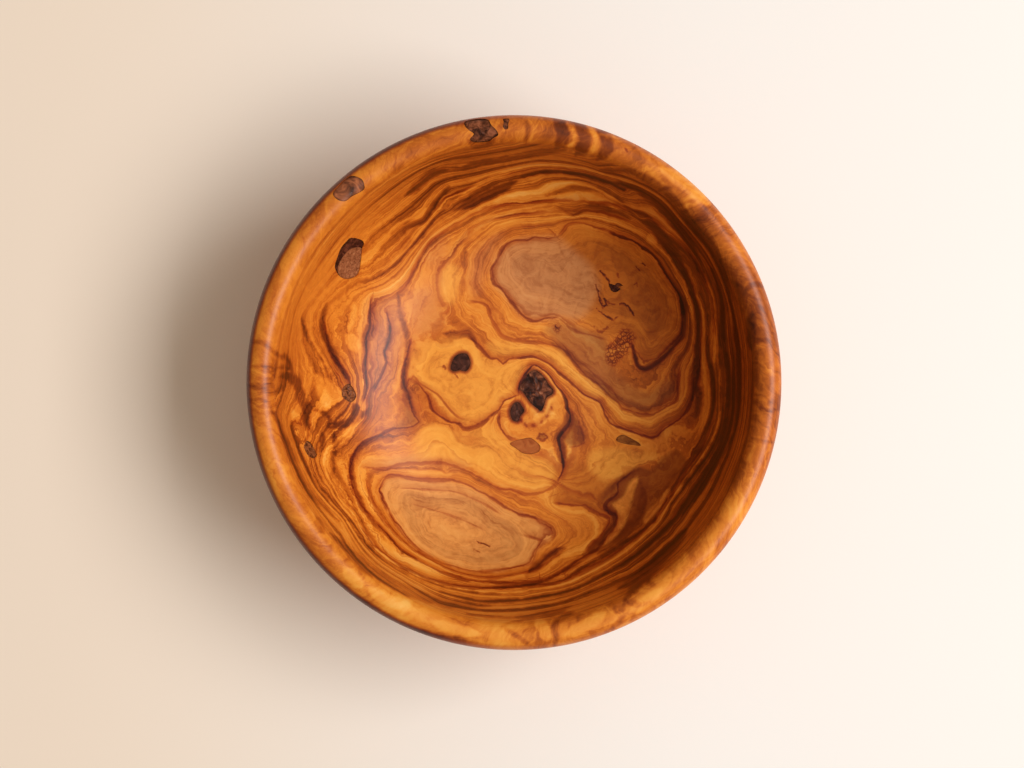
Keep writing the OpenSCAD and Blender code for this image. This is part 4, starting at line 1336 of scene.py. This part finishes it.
def knotFace(mesh, knot):
    # the rings laid on the wood, sunk a little and lumpy; gives how far each point is from the edge
    seat, outline = seatOf(knot), knotOutline(knot)
    outward = (seat.to_3x3() @ Vector((0, 0, 1))).normalized()
    middle = outline.mean(axis=0)
    around, rings = knotFit["around"], knotFit["rings"]
    toEdge = []
    for index, vertex in enumerate(mesh.vertices):
        share = 1 - index // around / rings if index < around * rings else 0
        x, y = middle + (outline[index % around] - middle) * share
        point = seat @ Vector((x, y, 0))
        for step in range(knotFit["settleSteps"]):
            point = point + outward * (depthInWood(point, knot["seat"]) - knotFit["sink"])
        lump = 0
        if share < knotFit["plainFrom"]:
            lump = noise.fractal(point * knotFit["lumpScale"], *knotFit["lumpNoise"])
        deep = lump * knotLooks[knot["look"]]["lumps"]
        deep = max(knotFit["lumpLow"], min(knotFit["lumpHigh"], deep))
        point = point - outward * deep * min(1, (1 - share) * knotFit["rise"])
        vertex.co = point * mm
        toEdge.append(1 - share)
    return toEdge, outward


def makeKnot(name, knot):
    # rings drawn in from the outline to the middle, sides drawn down into the pocket
    clearSelection()
    around = knotFit["around"]
    bpy.ops.mesh.primitive_circle_add(vertices=around, radius=1, fill_type="NOTHING")
    piece = bpy.context.object
    piece.name = name + "_piece"
    editAll()
    for ring in range(knotFit["rings"] - 1):
        bpy.ops.mesh.extrude_region_move()
    bpy.ops.mesh.edge_face_add()
    bpy.ops.mesh.poke()
    bpy.ops.object.mode_set(mode="OBJECT")
    mesh = piece.data
    toEdge, outward = knotFace(mesh, knot)
    selectOnly([piece])
    bpy.ops.object.mode_set(mode="EDIT")
    bpy.ops.mesh.select_all(action="DESELECT")
    bpy.ops.object.mode_set(mode="OBJECT")
    for vertex in mesh.vertices:
        vertex.select = vertex.index < around
    for edge in mesh.edges:
        edge.select = all(v < around for v in edge.vertices)
    bpy.ops.object.mode_set(mode="EDIT")
    down = outward * -(knot["depth"] - knotFit["clear"]) * mm
    bpy.ops.mesh.extrude_region_move(TRANSFORM_OT_translate={"value": down})
    bpy.ops.mesh.edge_face_add()
    faceOutwards()
    addAttribute(mesh, "toEdge", toEdge + [0] * (len(mesh.vertices) - len(toEdge)))
    return piece


for name, knot in knots.items():
    piece = makeKnot(name, knot)
    if name == "wall_knot_bark":
        cutAway(piece, [pocketCutter(knots["wall_knot"])])
    selectOnly([piece])
    bpy.ops.object.shade_smooth_by_angle(angle=math.radians(knotFit["smoothAngle"]))
    piece.data.materials.clear()
    piece.data.materials.append(finishes[knot["look"]])
    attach(piece, "root")
    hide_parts(name)
print("knots made:", len(knots))

bowlPiece.data.materials.clear()
bowlPiece.data.materials.append(oliveWood())
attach(bowlPiece, "root")
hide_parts("bowl_body")

# Stage: pale floor with painted warm, dimmer light towards the left, one broad soft lamp from the right, low
# fill from all round
stage = {
    "floorSize": 6, "floorLeftPaintedWarmth": (0.92, 0.80, 0.69), "floorRight": (0.915, 0.905, 0.905),
    "turn": (-0.30, 0.14), "mottle": (3, 2), "mottleAmount": 0.02, "floorRough": 0.9, "backdrop": 0.9,
    "fillLeft": 0.04, "fillRight": 0.30, "fillTop": 0.33, "fillColour": (1.0, 0.85, 0.67),
    "lampWatts": 80, "lampColour": (1.0, 0.98, 0.955), "lampSize": (2.5, 1.3), "lampDistance": 3.0,
    "lampAzimuth": -1, "lampHeight": 52,
}


def makeGround():
    clearSelection()
    bpy.ops.mesh.primitive_plane_add(size=stage["floorSize"], location=(0, 0, 0))
    ground = bpy.context.object
    ground.name = "ground"
    made = newMaterial("paleGround")
    where = objectPlace()
    across = splitPlace(where)[0]
    # painted light: the floor turns warmer and darker towards the left, standing in for the warm fill light
    # and the light falling off there
    colour = blend(fade(across, *stage["turn"]), (*stage["floorLeftPaintedWarmth"], 1), (*stage["floorRight"], 1))
    mottle = about(grain(where, *stage["mottle"]), stage["mottleAmount"], 1.0)
    surface({"Base Color": blend(1.0, colour, mottle, "MULTIPLY"), "Roughness": stage["floorRough"]})
    ground.data.materials.append(made)


def makeSky():
    world = bpy.data.worlds.new("studio")
    bpy.context.scene.world = world
    world.use_nodes = True
    world.node_tree.nodes.clear()
    nodeWork["tree"] = world.node_tree
    path = addNode("ShaderNodeLightPath")
    seen = addNode("ShaderNodeBackground", {0: (*stage["floorRight"], 1), 1: stage["backdrop"]})
    way = splitPlace(objectPlace())
    level = fade(way[0], -1.0, 1.0, stage["fillLeft"], stage["fillRight"])
    level = scaled(calc("MAXIMUM", way[2], 0.0), stage["fillTop"], level)
    lights = addNode("ShaderNodeBackground", {0: (*stage["fillColour"], 1), 1: level})
    both = addNode("ShaderNodeMixShader", {0: path.outputs["Is Camera Ray"], 1: lights.outputs[0],
                                           2: seen.outputs[0]})
    addNode("ShaderNodeOutputWorld", {0: both.outputs[0]})


def addToScene(name, data):
    made = bpy.data.objects.new(name, data)
    bpy.context.scene.collection.objects.link(made)
    return made


def makeLamp():
    lamp = bpy.data.lights.new("window", "AREA")
    lamp.shape, lamp.size, lamp.size_y = "RECTANGLE", *stage["lampSize"]
    lamp.energy, lamp.color = stage["lampWatts"], stage["lampColour"]
    window = addToScene("window", lamp)
    azimuth, height = math.radians(stage["lampAzimuth"]), math.radians(stage["lampHeight"])
    level = math.cos(height)
    place = Vector((math.cos(azimuth) * level, math.sin(azimuth) * level, math.sin(height)))
    window.location = place * stage["lampDistance"]
    window.rotation_euler = place.to_track_quat("Z", "Y").to_euler()


def makeCamera():
    lens = bpy.data.cameras.new("overhead")
    lens.sensor_width = photo["sensor"]
    lens.lens = photo["focalPixels"] / photo["wide"] * photo["sensor"]
    camera = addToScene("overhead", lens)
    camera.location = Vector(photo["camera"]) * mm
    bpy.context.scene.camera = camera
    bpy.context.scene.view_settings.view_transform = "Standard"


makeGround()
makeSky()
makeLamp()
makeCamera()
print("stage set")
